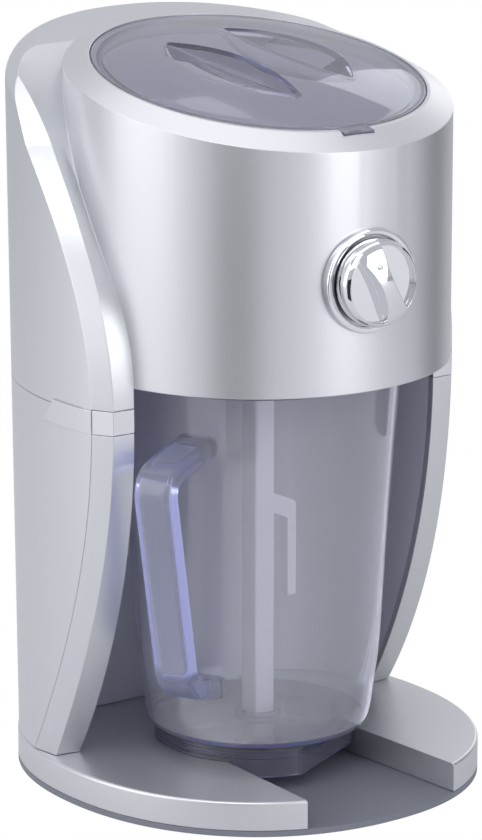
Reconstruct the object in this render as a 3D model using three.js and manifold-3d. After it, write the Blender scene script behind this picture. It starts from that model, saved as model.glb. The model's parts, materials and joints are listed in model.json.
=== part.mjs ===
// Countertop ice shaver: a rear column and a sloping head over a clear jug on a round base
import * as THREE from 'three';
import { mergeVertices } from 'three/addons/utils/BufferGeometryUtils.js';
import Module from 'manifold-3d';

const wasm = await Module();
wasm.setup();

// All lengths are in millimetres. The front of the machine looks along -Y and +Z is up.

// Fits, and the overrun that every cut has
const seatGap = 0.3;
const turnGap = 0.35;
const runningGap = 0.05;
const overrun = 2;
const farAway = 400;

// How finely round forms are faceted
const planSteps = 48;
const drumSteps = 40;
const jugSteps = 28;
const roundSteps = 16;
const smallSteps = 8;
const domeSteps = 4;
const sideLowSteps = 8;
const sideHighSteps = 18;
const sideSpare = 36.5;
const swellSteps = 6;
const shoulderSteps = 3;

// Base
const planPower = 2.15;
const baseHalfWidth = 115;
const baseHalfLength = 123;
const standHeight = 1.5;
const plateThick = 3;
const platformHeight = 14.9;
const platformWall = 2.5;
const platformSkin = 3;
const platformEdge = 1.6;
const footRadius = 9;
const footSink = 2;
const footInset = 0.64;
const bossRadius = 4.5;
const bossRoof = 2.5;
const baseScrewHead = 3.5;
const baseScrewHeadHigh = 1.6;
const baseScrewShank = 1.6;
const baseScrewRise = 9;
const baseScrewPlaceShares = [[0.7, -0.38], [0.62, 0.5]];

// Recess in the platform, and the lug of the jug that runs in it
const recessHalfWidth = 42.6;
const recessFlareDeg = 2.5;
const recessReach = 29.5;
const lugClear = 0.5;
const lugDepth = 8;

// Rear column and the sides of the head
const columnInset = 0.5;
const leanWidth = 2.5;
const leanLength = 3.5;
const leanSpan = 340;
const shellWall = 2.5;
const shoulderRadius = 18;
const bowAhead = 29.5;
const bowBelow = 11;
const bowRadii = { above: 226, below: 405 };
const bandWidth = 14.8;
const bandBelow = 15;
const bandRadii = { above: 178, below: 330 };
const steepestShare = 0.97;
const ribProud = 2.2;
const ribRise = 127;
const slantLeast = 3.2;
const slantReach = 22;
const slantPower = 5;
const slantBelow = 8;
const slantSpan = 157;
const slantMargin = 19;

// Waist
const seamBelow = 12.5;
const trimBelow = 22.8;
const trimHeight = 12.8;
const tailTop = 33.5;
const tailBottom = 44.5;

// Inner wall of the column, behind and beside the jug
const linerInset = 3;
const linerRear = 50.5;
const linerCorner = 45;
const linerThick = 2;

// Head
const headSetback = 132;
const headInset = 16;
const headWall = 2.5;
const headHeight = 140.5;
const headClear = 7;
const tiltDeg = 11;
const rimRise = 6;
const rimSlope = 11.5;
const rimLedge = 5;
const frontTurnDeg = -3;

// Lid, in its own tilted frame
const lidLap = 3.2;
const lidThick = 3;
const lidCrown = 8.5;
const lidSkirtThick = 2.6;
const lidSkirtDeep = 5;
const tabHalfWidth = 9;
const tabReach = 5.5;
const prongHalfWidth = 3.5;
const prongThick = 3.6;
const prongInset = 0.8;
const prongDrop = 6.2;
const prongClear = 0.4;
const lensLength = 88;
const lensTipX = 21.5;
const lensInnerBulge = 11.5;
const lensOuterBulge = 25;
const lensDeep = 10.6;
const lensShallow = 1.4;
const lensWall = 1.8;
const lensTurnDeg = 16;
const lensEndShare = 0.97;
const lensSteps = 8;

// Lid interlock
const plungerRadius = 2;
const plungerLength = 8;
const plungerTravel = 2;
const plungerHead = 2.9;
const plungerHeadHigh = 1.2;
const interlockWide = 16;
const interlockDeep = 8;
const interlockHigh = 10;
const runRoom = 1;

// Jug, turned about the head's axis
const jugFloorRadius = 54.5;
const jugRimRadius = 73.4;
const jugHeight = 187.7;
const jugWall = 2.4;
const jugFloorThick = 2.2;
const jugBead = 1.2;
const jugBeadHigh = 2;
const jugHeelShares = [[1.035, 0.0], [1.06, 0.014], [1.085, 0.045], [1.11, 0.1], [1.165, 0.235]];
const jugFlankShares = [[0.915, 0.54], [0.985, 0.92]];
const pivotRadius = 3;
const pivotHigh = 6;
const pivotRing = 12;
const pivotRingWall = 1.3;
const pivotRingHigh = 2.4;
const spoutRadius = 17;
const spoutTip = 5;
const spoutHigh = 24;
const spoutReach = 7;
const handleAngleDeg = 206;
const handleTopDrop = 26.7;
const handleTopFall = 7;
const handleLowRise = 32;
const handleLowLift = 8;
const handleTopReach = 41;
const handleLowReach = 26;
const handleTopBend = 13;
const handleLowBend = 10;
const handleWide = 21;
const handleThick = 11.5;
const handleCornerShare = 0.32;
const handleRoot = 6;
const handleSteps = 22;

// Foot of the jug
const heelRadius = 55;
const heelHeight = 8;
const heelFlat = 43;
const heelWall = 3;
const heelSkin = 2.4;
const heelGroove = 0.7;
const heelGrooveShares = [0.22, 0.42, 0.62];

// Paddle
const shaftWide = 12.4;
const shaftChamfer = 1.2;
const tangThick = 6;
const tangLong = 20;
const tangRise = 1;
const slotDeep = 4;
const slotClear = 0.4;
const armOut = 20;
const armWide = 5.4;
const armRootRise = 121;
const armDrop = 13;
const armTip = 60.5;

// Drive dog, spindle and its bushes
const dogRadius = 13;
const dogClear = 1;
const spindleRadius = 5;
const bushRadius = 8;
const bushLength = 6;
const bushBoss = 12;
const bushBossHigh = 3;

// Head floor and the chute
const floorThick = 3;
const tongueHalfWidth = 30;
const chuteInner = 33.5;
const chuteOuter = 64;
const chuteHalfDeg = 46;
const chuteWall = 1.8;

// Gears
const toothModule = 1.75;
const addendumShare = 0.8;
const dedendumShare = 1.1;
const pressureDeg = 25;
const rearDeg = 90;
const halfTurnDeg = 180;
const backlash = 0.35;
const spindleTeeth = 30;
const idlerTeeth = 23;
const pinionTeeth = 10;
const wheelTeeth = 30;
const gearHigh = 7;
const wheelHigh = 6;
const gearLift = 3.6;
const levelStep = 1.8;
const axleRadius = 3;
const hubRadius = 11;
const hubHigh = 4;
const coverWall = 2;
const coverTop = 2.5;
const coverRoom = 1.4;
const coverHeight = 24;

// Motor
const motorRadius = 20;
const motorLength = 72;
const motorShaft = 2.5;
const motorShaftSink = 10;
const motorCollar = 6;
const motorCollarHigh = 2;
const motorBell = 16;

// Hopper, blade and pusher
const hopperFloor = 2.5;
const hopperFloorRadius = 60;
const hopperKnee = 10;
const hopperKneeOut = 2;
const hopperConeHigh = 47;
const hopperClear = 1.8;
const hopperWall = 2;
const windowHalf = 6;
const windowInner = 36.5;
const windowOuter = 53;
const bladeInner = 33;
const bladeOuter = 55;
const bladeWide = 14;
const bladeEdge = 1;
const bladeScrewInset = 4;
const bladeThick = 1.2;
const bladeBevel = 3;
const bladeScrewShank = 1.3;
const bladeScrewHead = 2.6;
const bladeScrewHeadHigh = 1.6;
const pusherClear = 0.6;
const pusherHigh = 31;
const pusherHub = 15;
const pusherTop = 8;
const pusherSkin = 5;
const vaneCount = 3;
const vaneHigh = 12;
const vaneThick = 5;
const vaneClear = 3;
const vaneSweepDeg = 52;
const vaneSteps = 6;

// Knob, its ring and the switch behind it
const knobRise = 56.4;
const knobRadius = 22;
const knobReach = 16.6;
const knobClear = 1;
const knobEdge = 8.5;
const knobPocketRadius = 19.6;
const knobPocketDeep = 7.5;
const knobBarHalf = 3.6;
const knobBarBulge = 3.4;
const knobTurnDeg = 26;
const knobDot = 1.3;
const ringInner = 22.8;
const ringOuter = 26.4;
const ringProud = 2.2;
const stemRadius = 3;
const switchHalf = 13;
const switchDeep = 11;
const switchBore = 9;

// Inlet for the mains lead, in the back of the column
const glandHeight = 34;
const glandRadius = 6;
const glandFlange = 8.5;
const glandFlangeHigh = 2.4;
const glandBore = 3.4;
const glandLength = 7;

// Levels and places that follow from the sizes above
const shellHalfWidth = baseHalfWidth - columnInset;
const shellHalfLength = baseHalfLength - columnInset;
const headY = shellHalfLength - headSetback;
const headRadius = shellHalfWidth - headInset;
const rimTopRadius = headRadius - rimSlope;
const openingRadius = rimTopRadius - rimLedge;
const lidRadius = openingRadius + lidLap;
const hopperRadius = openingRadius - hopperClear;
const linerHalfWidth = headRadius - linerInset;
const linerBack = shellHalfLength - linerRear;
const bowFront = headY - bowAhead;
const bandFront = bowFront + bandWidth;
const plateTop = standHeight + plateThick;
const recessBack = headY + recessReach;
const platformBottom = plateTop + seatGap;
const platformTop = platformBottom + platformHeight;
const heelBottom = platformTop + seatGap;
const heelTop = heelBottom + heelHeight;
const jugBottom = heelTop + seatGap;
const jugFloor = jugBottom + jugFloorThick;
const jugRim = jugBottom + jugHeight;
const headBottom = jugRim + headClear;
const deckHeight = headBottom + headHeight;
const lidHeight = deckHeight + rimRise;
const sideTop = deckHeight + sideSpare;
const bowHeight = headBottom - bowBelow;
const bandHeight = headBottom - bandBelow;
const ribTop = headBottom + ribRise;
const slantStart = headBottom - slantBelow;
const seamHeight = headBottom - seamBelow;
const trimBottom = headBottom - trimBelow;
const trimTop = trimBottom + trimHeight;
const knobHeight = headBottom + knobRise;
const floorTop = headBottom + floorThick;
const gearBottom = floorTop + gearLift;
const wheelBottom = gearBottom + gearHigh + levelStep;
const coverBottom = floorTop + seatGap;
const coverRoof = coverBottom + coverHeight;
const hopperBottom = coverRoof + seatGap;
const hopperFloorTop = hopperBottom + hopperFloor;
const bladeBottom = hopperFloorTop + seatGap;
const pusherBottom = bladeBottom + bladeThick + pusherClear;
const dogBottom = jugRim + dogClear;
const dogTop = headBottom - turnGap;
const tilt = THREE.MathUtils.degToRad(tiltDeg);
const frontTurn = THREE.MathUtils.degToRad(frontTurnDeg);
const spindleGearRadius = toothModule * spindleTeeth / 2;
const idlerRadius = toothModule * idlerTeeth / 2;
const pinionRadius = toothModule * pinionTeeth / 2;
const wheelRadius = toothModule * wheelTeeth / 2;
const idlerY = headY + spindleGearRadius + idlerRadius;
const wheelY = idlerY + idlerRadius + pinionRadius;
const motorY = wheelY + wheelRadius + pinionRadius;

// Finishes
const silver = { color: 0xb9bbc0, roughness: 0.38, metalness: 0.35 };
const slate = { color: 0x8d909b, roughness: 0.45, metalness: 0.2 };
const chrome = { color: 0xd4d6da, roughness: 0.12, metalness: 1 };
const steel = { color: 0xb4b6b8, roughness: 0.3, metalness: 1 };
const brass = { color: 0xc9a765, roughness: 0.35, metalness: 1 };
const white = { color: 0xeef0f4, roughness: 0.42, metalness: 0 };
const black = { color: 0x1d1e22, roughness: 0.6, metalness: 0 };
const rubber = { color: 0x17181a, roughness: 0.85, metalness: 0 };
const lilac = { color: 0xb9bce6, roughness: 0.08, metalness: 0, transparent: true, opacity: 0.5 };

// Makes a solid of a closed geometry, with its faces turned outwards
function solid(geometry) {
  const bare = new THREE.BufferGeometry();
  bare.setAttribute('position', geometry.attributes.position);
  if (geometry.index) bare.setIndex(geometry.index);
  const merged = mergeVertices(bare);
  const places = merged.attributes.position.array;
  const corners = merged.index.array;
  const kept = [];
  const [a, b, c] = [new THREE.Vector3(), new THREE.Vector3(), new THREE.Vector3()];
  let volume = 0;
  for (let i = 0; i < corners.length; i += 3) {
    const [p, q, r] = [corners[i], corners[i + 1], corners[i + 2]];
    if (p === q || q === r || r === p) continue;
    kept.push(p, q, r);
    a.fromArray(places, 3 * p);
    b.fromArray(places, 3 * q);
    c.fromArray(places, 3 * r);
    volume += a.dot(b.cross(c));
  }
  if (volume < 0) {
    for (let i = 0; i < kept.length; i += 3) [kept[i], kept[i + 1]] = [kept[i + 1], kept[i]];
  }
  const mesh = new wasm.Mesh({
    numProp: 3,
    vertProperties: Float32Array.from(places),
    triVerts: Uint32Array.from(kept),
  });
  return new wasm.Manifold(mesh);
}

// Extrudes a plan outline from one height to another
function prism(shape, bottom, top, steps = smallSteps) {
  const options = { depth: top - bottom, bevelEnabled: false, curveSegments: steps };
  const geometry = new THREE.ExtrudeGeometry(shape, options);
  geometry.translate(0, 0, bottom);
  return solid(geometry);
}

// Extrudes an outline drawn in the side view (y, z) from one x to another
function sidePrism(shape, fromX, toX) {
  const options = { depth: toX - fromX, bevelEnabled: false, curveSegments: smallSteps };
  const geometry = new THREE.ExtrudeGeometry(shape, options);
  geometry.translate(0, 0, fromX);
  const turn = new THREE.Matrix4().makeBasis(
    new THREE.Vector3(0, 1, 0), new THREE.Vector3(0, 0, 1), new THREE.Vector3(1, 0, 0));
  geometry.applyMatrix4(turn);
  return solid(geometry);
}

// Turns a profile of [radius, height] points about the vertical through x, y
function turned(profile, steps, x = 0, y = 0) {
  const points = profile.map(([radius, height]) => new THREE.Vector2(radius, height));
  const [first, last] = [points[0], points[points.length - 1]];
  if (first.x > 0 || last.x > 0) points.push(first.clone());
  const geometry = new THREE.LatheGeometry(points, steps);
  geometry.rotateX(Math.PI / 2);
  geometry.translate(x, y, 0);
  return solid(geometry);
}

function disc(radius, bottom, top, x = 0, y = 0, steps = smallSteps) {
  return turned([[0, bottom], [radius, bottom], [radius, top], [0, top]], steps, x, y);
}

function ring(inner, outer, bottom, top, x = 0, y = 0, steps = smallSteps) {
  return turned([[inner, bottom], [outer, bottom], [outer, top], [inner, top]], steps, x, y);
}

function block(x0, x1, y0, y1, z0, z1) {
  const geometry = new THREE.BoxGeometry(x1 - x0, y1 - y0, z1 - z0);
  geometry.translate((x0 + x1) / 2, (y0 + y1) / 2, (z0 + z1) / 2);
  return solid(geometry);
}

// Joins rings of equally many points into one closed skin; flat gives a point's place on a cap
function loft(rings, flat) {
  const count = rings[0].length;
  const places = [];
  for (const points of rings) for (const point of points) places.push(point.x, point.y, point.z);
  const corners = [];
  for (let r = 0; r + 1 < rings.length; r += 1) {
    for (let i = 0; i < count; i += 1) {
      const next = (i + 1) % count;
      const [a, b, c, d] = [r * count + i, r * count + next, (r + 1) * count + next, (r + 1) * count + i];
      corners.push(a, b, c, a, c, d);
    }
  }
  const last = (rings.length - 1) * count;
  const caps = [[0, rings[0], true], [last, rings[rings.length - 1], false]];
  for (const [start, points, turnedOver] of caps) {
    const outline = points.map(flat);
    const clockwise = THREE.ShapeUtils.isClockWise(outline);
    const reversed = turnedOver !== clockwise;
    for (const [a, b, c] of THREE.ShapeUtils.triangulateShape(outline, [])) {
      corners.push(start + a, start + (reversed ? c : b), start + (reversed ? b : c));
    }
  }
  const geometry = new THREE.BufferGeometry();
  geometry.setAttribute('position', new THREE.Float32BufferAttribute(places, 3));
  geometry.setIndex(corners);
  return solid(geometry);
}

function moved(body, matrix) {
  const mesh = body.getMesh();
  const geometry = new THREE.BufferGeometry();
  geometry.setAttribute('position', new THREE.Float32BufferAttribute(mesh.vertProperties, 3));
  geometry.setIndex([...mesh.triVerts]);
  geometry.applyMatrix4(matrix);
  return solid(geometry);
}

function shifted(body, x, y, z) {
  return moved(body, new THREE.Matrix4().makeTranslation(x, y, z));
}

function joined(bodies) {
  return bodies.reduce((whole, body) => whole.add(body));
}

// The rounded plan that the base and the column share: a circle drawn towards a square
function planPoint(angle, halfWidth, halfLength) {
  const pull = (value) => Math.sign(value) * Math.abs(value) ** (2 / planPower);
  return new THREE.Vector2(halfWidth * pull(Math.cos(angle)), halfLength * pull(Math.sin(angle)));
}

function planAngles() {
  return Array.from({ length: planSteps }, (_, i) => (2 * Math.PI * i) / planSteps);
}

function planShape(inset) {
  const [width, length] = [baseHalfWidth - inset, baseHalfLength - inset];
  return new THREE.Shape(planAngles().map((angle) => planPoint(angle, width, length)));
}

// Height of the sloping deck over a place
function deckAt(y) {
  return deckHeight + (y - headY) * Math.tan(tilt);
}

// One ring of the column's leaning side, offset outwards, at a height that may follow y
function shellRing(offset, heightAt) {
  return planAngles().map((angle) => {
    let point = planPoint(angle, shellHalfWidth + offset, shellHalfLength + offset);
    const grown = (heightAt(point.y) - platformTop) / leanSpan;
    const width = shellHalfWidth + offset + leanWidth * grown;
    const length = shellHalfLength + offset + leanLength * grown;
    point = planPoint(angle, width, length);
    return new THREE.Vector3(point.x, point.y, heightAt(point.y));
  });
}

// The column and head as one smooth body, with a rounded shoulder below the sloping deck
function shellBody(offset, bottom) {
  const radius = shoulderRadius + offset;
  const rings = [shellRing(offset, () => bottom)];
  for (let i = 0; i <= shoulderSteps; i += 1) {
    const angle = (Math.PI / 2) * (i / shoulderSteps);
    const inset = radius * (1 - Math.cos(angle));
    const drop = radius * (1 - Math.sin(angle)) - offset;
    rings.push(shellRing(offset - inset, (y) => deckAt(y) - drop));
  }
  return loft(rings, (point) => new THREE.Vector2(point.x, point.y));
}

// The same side with the swell that lifts the ribs off it, fading out at both ends
function ribBody(inset, bottom, top) {
  const rings = [];
  for (let i = 0; i <= swellSteps; i += 1) {
    const height = bottom + (top - bottom) * (i / swellSteps);
    const share = THREE.MathUtils.clamp((height - platformTop) / (ribTop - platformTop), 0, 1);
    const swell = ribProud * Math.sqrt(Math.sin(Math.PI * share));
    rings.push(shellRing(swell - inset, () => height));
  }
  return loft(rings, (point) => new THREE.Vector2(point.x, point.y));
}

// A side view line that bows forward: two arcs that meet at its foremost place
function bowed(height, front, middle, radii) {
  const radius = height > middle ? radii.above : radii.below;
  const rise = Math.min(Math.abs(height - middle), steepestShare * radius);
  return front + radius - Math.sqrt(radius ** 2 - rise ** 2);
}

// How far forward the column's sides reach, and where the ribs begin, at a height
function bowLine(height) {
  return bowed(height, bowFront, bowHeight, bowRadii);
}

function bandLine(height) {
  return bowed(height, bandFront, bandHeight, bandRadii);
}

// How far the sides' front faces fall back on their way in from the shell, most beside the head
function slantAt(height) {
  const share = THREE.MathUtils.clamp((height - slantStart) / slantSpan, 0, 1);
  const peakShare = slantPower / (slantPower + 1);
  const peak = peakShare ** slantPower * (1 - peakShare);
  return slantLeast + slantReach * (share ** slantPower * (1 - share)) / peak;
}

function sideHeights() {
  const low = Array.from({ length: sideLowSteps }, (_, i) => bowHeight * (i / sideLowSteps));
  const rise = sideTop - bowHeight;
  const high = Array.from({ length: sideHighSteps + 1 }, (_, i) =>
    bowHeight + rise * (i / sideHighSteps));
  return [...low, ...high];
}

// The space behind a side view line, right across the machine
function behind(line, shift) {
  const points = sideHeights().map((height) => new THREE.Vector2(line(height) + shift, height));
  points.push(new THREE.Vector2(farAway, sideTop), new THREE.Vector2(farAway, 0));
  return sidePrism(new THREE.Shape(points), -farAway, farAway);
}

// The space behind the sides' front faces, which follow the bow line at the shell
function behindSlant(shift) {
  const middle = linerHalfWidth + slantMargin;
  const lines = [[-middle - slantMargin, -1], [-linerHalfWidth, 1],
    [linerHalfWidth, 1], [middle + slantMargin, -1]];
  const sections = lines.map(([x, inwards]) => {
    const points = sideHeights().map((z) =>
      new THREE.Vector3(x, bowLine(z) + inwards * slantAt(z) + shift, z));
    points.push(new THREE.Vector3(x, farAway, sideTop), new THREE.Vector3(x, farAway, 0));
    return points;
  });
  return loft(sections, (point) => new THREE.Vector2(point.y, point.z));
}

// The U-shaped bay that the jug stands in, grown by a margin
function bayShape(grow) {
  const [half, back, corner] = [linerHalfWidth + grow, linerBack + grow, linerCorner + grow];
  const shape = new THREE.Shape();
  shape.moveTo(-half, -farAway);
  shape.lineTo(half, -farAway);
  shape.lineTo(half, back - corner);
  shape.absarc(half - corner, back - corner, corner, 0, Math.PI / 2);
  shape.absarc(corner - half, back - corner, corner, Math.PI / 2, Math.PI);
  return shape;
}

function bay(grow, bottom, top) {
  return prism(bayShape(grow), bottom, top, smallSteps);
}

// Flat lower and upper bounds
function slab(bottom, top) {
  return block(-farAway, farAway, -farAway, farAway, bottom, top);
}

// The tilted frame of the lid, with its origin on the axis in the plane of the lid's rim
function lidFrame() {
  const matrix = new THREE.Matrix4().makeRotationX(tilt);
  matrix.multiply(new THREE.Matrix4().makeRotationZ(frontTurn));
  return matrix.setPosition(0, headY, lidHeight);
}

// Everything below the deck plane, lowered by a drop
function belowDeck(drop) {
  const body = block(-farAway, farAway, -farAway, farAway, -2 * farAway, 0);
  const matrix = new THREE.Matrix4().makeRotationX(tilt);
  return moved(body, matrix.setPosition(0, headY, deckHeight - drop));
}

function drum(radius, bottom, drop) {
  return disc(radius, bottom, deckHeight + farAway, 0, headY, drumSteps).intersect(belowDeck(drop));
}

// Base pieces

function footPlaces() {
  const spread = [[1, 1], [1, -1], [-1, 1], [-1, -1]];
  return spread.map(([x, y]) => [x * footInset * baseHalfWidth, y * footInset * baseHalfLength]);
}

function feet() {
  return footPlaces().map(([x, y]) => disc(footRadius, 0, standHeight + footSink, x, y));
}

function baseScrewPlaces() {
  const sides = [-1, 1];
  return baseScrewPlaceShares.flatMap(([x, y]) =>
    sides.map((side) => [side * x * baseHalfWidth, y * baseHalfLength]));
}

function basePlate() {
  let body = prism(planShape(0), standHeight, plateTop);
  const pocketTop = standHeight + footSink + seatGap;
  for (const [x, y] of footPlaces()) {
    body = body.subtract(disc(footRadius + seatGap, 0, pocketTop, x, y));
  }
  for (const [x, y] of baseScrewPlaces()) {
    const sink = standHeight + baseScrewHeadHigh + seatGap;
    body = body.subtract(disc(baseScrewHead + seatGap, 0, sink, x, y));
    body = body.subtract(disc(baseScrewShank + seatGap, 0, platformTop, x, y, smallSteps));
  }
  return body;
}

// Half width of the recess at a place: it flares towards the front
function recessAt(y) {
  return recessHalfWidth + (headY - y) * Math.tan(THREE.MathUtils.degToRad(recessFlareDeg));
}

function recessShape(clear) {
  const front = -baseHalfLength - overrun;
  const shape = new THREE.Shape();
  shape.moveTo(-recessAt(front) + clear, front);
  shape.lineTo(recessAt(front) - clear, front);
  shape.lineTo(recessAt(recessBack) - clear, recessBack - clear);
  shape.lineTo(-recessAt(recessBack) + clear, recessBack - clear);
  return shape;
}

function platform() {
  const edge = platformTop - platformEdge;
  let body = prism(planShape(0), platformBottom, edge);
  const rings = [];
  for (let i = 0; i <= shoulderSteps; i += 1) {
    const angle = (Math.PI / 2) * (i / shoulderSteps);
    const inset = platformEdge * (1 - Math.cos(angle));
    const height = edge + platformEdge * Math.sin(angle);
    const [width, length] = [baseHalfWidth - inset, baseHalfLength - inset];
    rings.push(planAngles().map((turn) => {
      const point = planPoint(turn, width, length);
      return new THREE.Vector3(point.x, point.y, height);
    }));
  }
  body = body.add(loft(rings, (point) => new THREE.Vector2(point.x, point.y)));
  const room = prism(planShape(platformWall), 0, platformTop - platformSkin);
  const screwed = baseScrewPlaces();
  const posts = screwed.map(([x, y]) => disc(bossRadius, 0, platformTop, x, y));
  const recessWall = prism(recessShape(-platformWall), 0, platformTop);
  body = body.subtract(room.subtract(joined([recessWall, ...posts])));
  body = body.subtract(prism(recessShape(0), 0, platformTop + overrun));
  for (const [x, y] of screwed) {
    body = body.subtract(disc(baseScrewShank + seatGap, 0, platformTop - bossRoof, x, y));
  }
  return body;
}

function baseScrews() {
  return baseScrewPlaces().map(([x, y]) => {
    const headTop = standHeight + baseScrewHeadHigh;
    const tip = headTop + baseScrewRise;
    const profile = [[0, standHeight], [baseScrewHead, standHeight], [baseScrewHead, headTop],
      [baseScrewShank, headTop], [baseScrewShank, tip], [0, tip]];
    return turned(profile, smallSteps, x, y);
  });
}

// Column pieces

function rearShell() {
  const [bottom, top] = [platformTop + seatGap, seamHeight - seatGap];
  const outer = shellBody(0, 0).intersect(slab(bottom, top)).intersect(behind(bandLine, seatGap));
  const room = shellBody(-shellWall, -overrun).intersect(behind(bandLine, seatGap + shellWall));
  const body = outer.subtract(room).subtract(bay(linerThick + seatGap, 0, seamHeight + overrun));
  return body.subtract(moved(disc(glandRadius + seatGap, 0, farAway), glandFrame()));
}

function liner() {
  const [bottom, top] = [platformTop + seatGap, headBottom - seatGap];
  const wall = bay(linerThick, bottom, top).subtract(bay(0, bottom - overrun, top + overrun));
  return wall.intersect(behindSlant(shellWall + seatGap));
}

// One side's share of a body
function half(body, side) {
  const [from, to] = side < 0 ? [-farAway, 0] : [0, farAway];
  return body.intersect(block(from, to, -farAway, farAway, -farAway, farAway));
}

// An L-shaped rib: the proud outer face and the front face that turns in to the jug bay
function rib(side, bottom, top) {
  const range = [bottom - overrun, top + overrun];
  const outer = ribBody(0, ...range).intersect(slab(bottom, top)).intersect(behindSlant(0));
  const room = ribBody(shellWall, ...range).intersect(behindSlant(shellWall));
  let body = outer.subtract(room).subtract(behind(bandLine, 0));
  body = body.subtract(bay(0, 0, headBottom));
  return half(body, side);
}

// The bright clip round a rib's waist, with a tail that lies on the side of the column
function waistTrim(side) {
  const [bottom, top] = [trimBottom + seatGap, trimTop - seatGap];
  const clip = rib(side, bottom, top);
  const start = bandFront - shellWall;
  const outline = new THREE.Shape();
  outline.moveTo(start, bottom);
  outline.lineTo(start + tailBottom, bottom);
  outline.lineTo(start + tailTop, top);
  outline.lineTo(start, top);
  const skin = shellBody(ribProud, 0).subtract(shellBody(seatGap, -overrun));
  const tail = skin.intersect(sidePrism(outline, -farAway, farAway));
  return clip.add(half(tail, side));
}

// The inlet's own frame: out along +Y through the back wall
function glandFrame() {
  const grown = (glandHeight - platformTop) / leanSpan;
  const face = shellHalfLength + leanLength * grown;
  const matrix = new THREE.Matrix4().makeRotationX(-Math.PI / 2);
  return matrix.setPosition(0, face - glandLength, glandHeight);
}

function cordGland() {
  const flangeBottom = glandLength + seatGap;
  const flangeTop = flangeBottom + glandFlangeHigh;
  const profile = [[glandBore, 0], [glandRadius, 0], [glandRadius, flangeBottom],
    [glandFlange, flangeBottom], [glandFlange, flangeTop], [glandBore, flangeTop]];
  return moved(turned(profile, smallSteps), glandFrame());
}

// Head pieces

function tabShape(clear) {
  const reach = lidRadius + tabReach + clear;
  const width = tabHalfWidth + clear;
  const root = lidRadius - tabReach;
  const shape = new THREE.Shape();
  shape.moveTo(-width, -reach);
  shape.lineTo(width, -reach);
  shape.lineTo(width, -root);
  shape.lineTo(-width, -root);
  return shape;
}

// The prong below the lid's tab, which passes through the rim and presses the plunger
function prong(grow) {
  const far = -(lidRadius + tabReach - prongInset);
  const half = prongHalfWidth + grow;
  return block(-half, half, far - grow, far + prongThick + grow, -lidThick - prongDrop - grow, 0);
}

// The raised rim round the lid: a cone sheared so that it stands on the sloping deck
function rimCone() {
  const profile = [[0, -overrun], [headRadius, -overrun], [headRadius, 0],
    [rimTopRadius, rimRise], [0, rimRise]];
  const slope = Math.tan(tilt);
  const shear = new THREE.Matrix4().set(
    1, 0, 0, 0,
    0, 1, 0, headY,
    0, slope, 1, deckHeight,
    0, 0, 0, 1);
  return moved(turned(profile, drumSteps), shear);
}

// The upper ribs: the swell on the sides beside the drum
function upperSwell() {
  const swell = ribBody(0, trimTop - overrun, ribTop + overrun).intersect(slab(trimTop, ribTop));
  return swell.intersect(behindSlant(0)).subtract(behind(bandLine, 0));
}

// The knob's own frame: out from the front of the drum
function knobFrame() {
  const matrix = new THREE.Matrix4().makeBasis(
    new THREE.Vector3(1, 0, 0), new THREE.Vector3(0, 0, 1), new THREE.Vector3(0, -1, 0));
  const turn = new THREE.Matrix4().makeRotationZ(frontTurn).setPosition(0, headY, 0);
  return turn.multiply(matrix.setPosition(0, -headRadius, knobHeight));
}

// The lid interlock's own frame: up along the lid's axis, below the prong of the lid's tab
function plungerFrame() {
  const reach = lidRadius + tabReach - prongInset - prongThick / 2;
  const place = new THREE.Vector3(0, -reach, -lidThick - prongDrop - seatGap);
  return lidFrame().multiply(new THREE.Matrix4().makeTranslation(place.x, place.y, place.z));
}

function headShell() {
  const sides = shellBody(0, 0).intersect(slab(seamHeight, farAway)).intersect(behindSlant(0));
  const trimRoom = slab(0, trimTop).subtract(behind(bandLine, seatGap));
  const drumWall = drum(headRadius, headBottom, 0);
  const outer = joined([sides.subtract(trimRoom), upperSwell(), drumWall, rimCone()]);
  const sideRoom = shellBody(-shellWall, 0).intersect(behindSlant(shellWall));
  const room = sideRoom.add(drum(headRadius - headWall, headBottom - overrun, headWall));
  const linerRoom = bay(linerThick + seatGap, 0, headBottom).intersect(behindSlant(shellWall));
  let body = outer.subtract(room).subtract(bay(0, 0, headBottom)).subtract(linerRoom);
  const seat = lidThick + seatGap;
  const cuts = [
    disc(openingRadius, -lidThick - 2 * rimRise, rimRise, 0, 0, drumSteps),
    disc(lidRadius + 2 * seatGap, -seat, rimRise, 0, 0, drumSteps),
    prism(tabShape(seatGap), -seat, rimRise),
    prong(prongClear),
  ];
  for (const cut of cuts) body = body.subtract(moved(cut, lidFrame()));
  return body.subtract(moved(disc(stemRadius + turnGap, -headWall * 2, overrun), knobFrame()));
}

// Rings of the drive turn in bores: the bore's flats stay clear of the shaft's corners
function boreFor(radius, clear = runningGap) {
  return (radius + clear) / Math.cos(Math.PI / roundSteps);
}

// A ring-shaped plan with rounded ends, for the chute below the blade
function kidneyShape(inset) {
  const middle = (chuteInner + chuteOuter) / 2;
  const reach = THREE.MathUtils.degToRad(chuteHalfDeg) - inset / middle;
  const [from, to] = [-Math.PI / 2 - reach, -Math.PI / 2 + reach];
  const shape = new THREE.Shape();
  shape.absarc(0, 0, chuteOuter - inset, from, to, false);
  shape.absarc(0, 0, chuteInner + inset, to, from, true);
  return shape;
}

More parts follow.
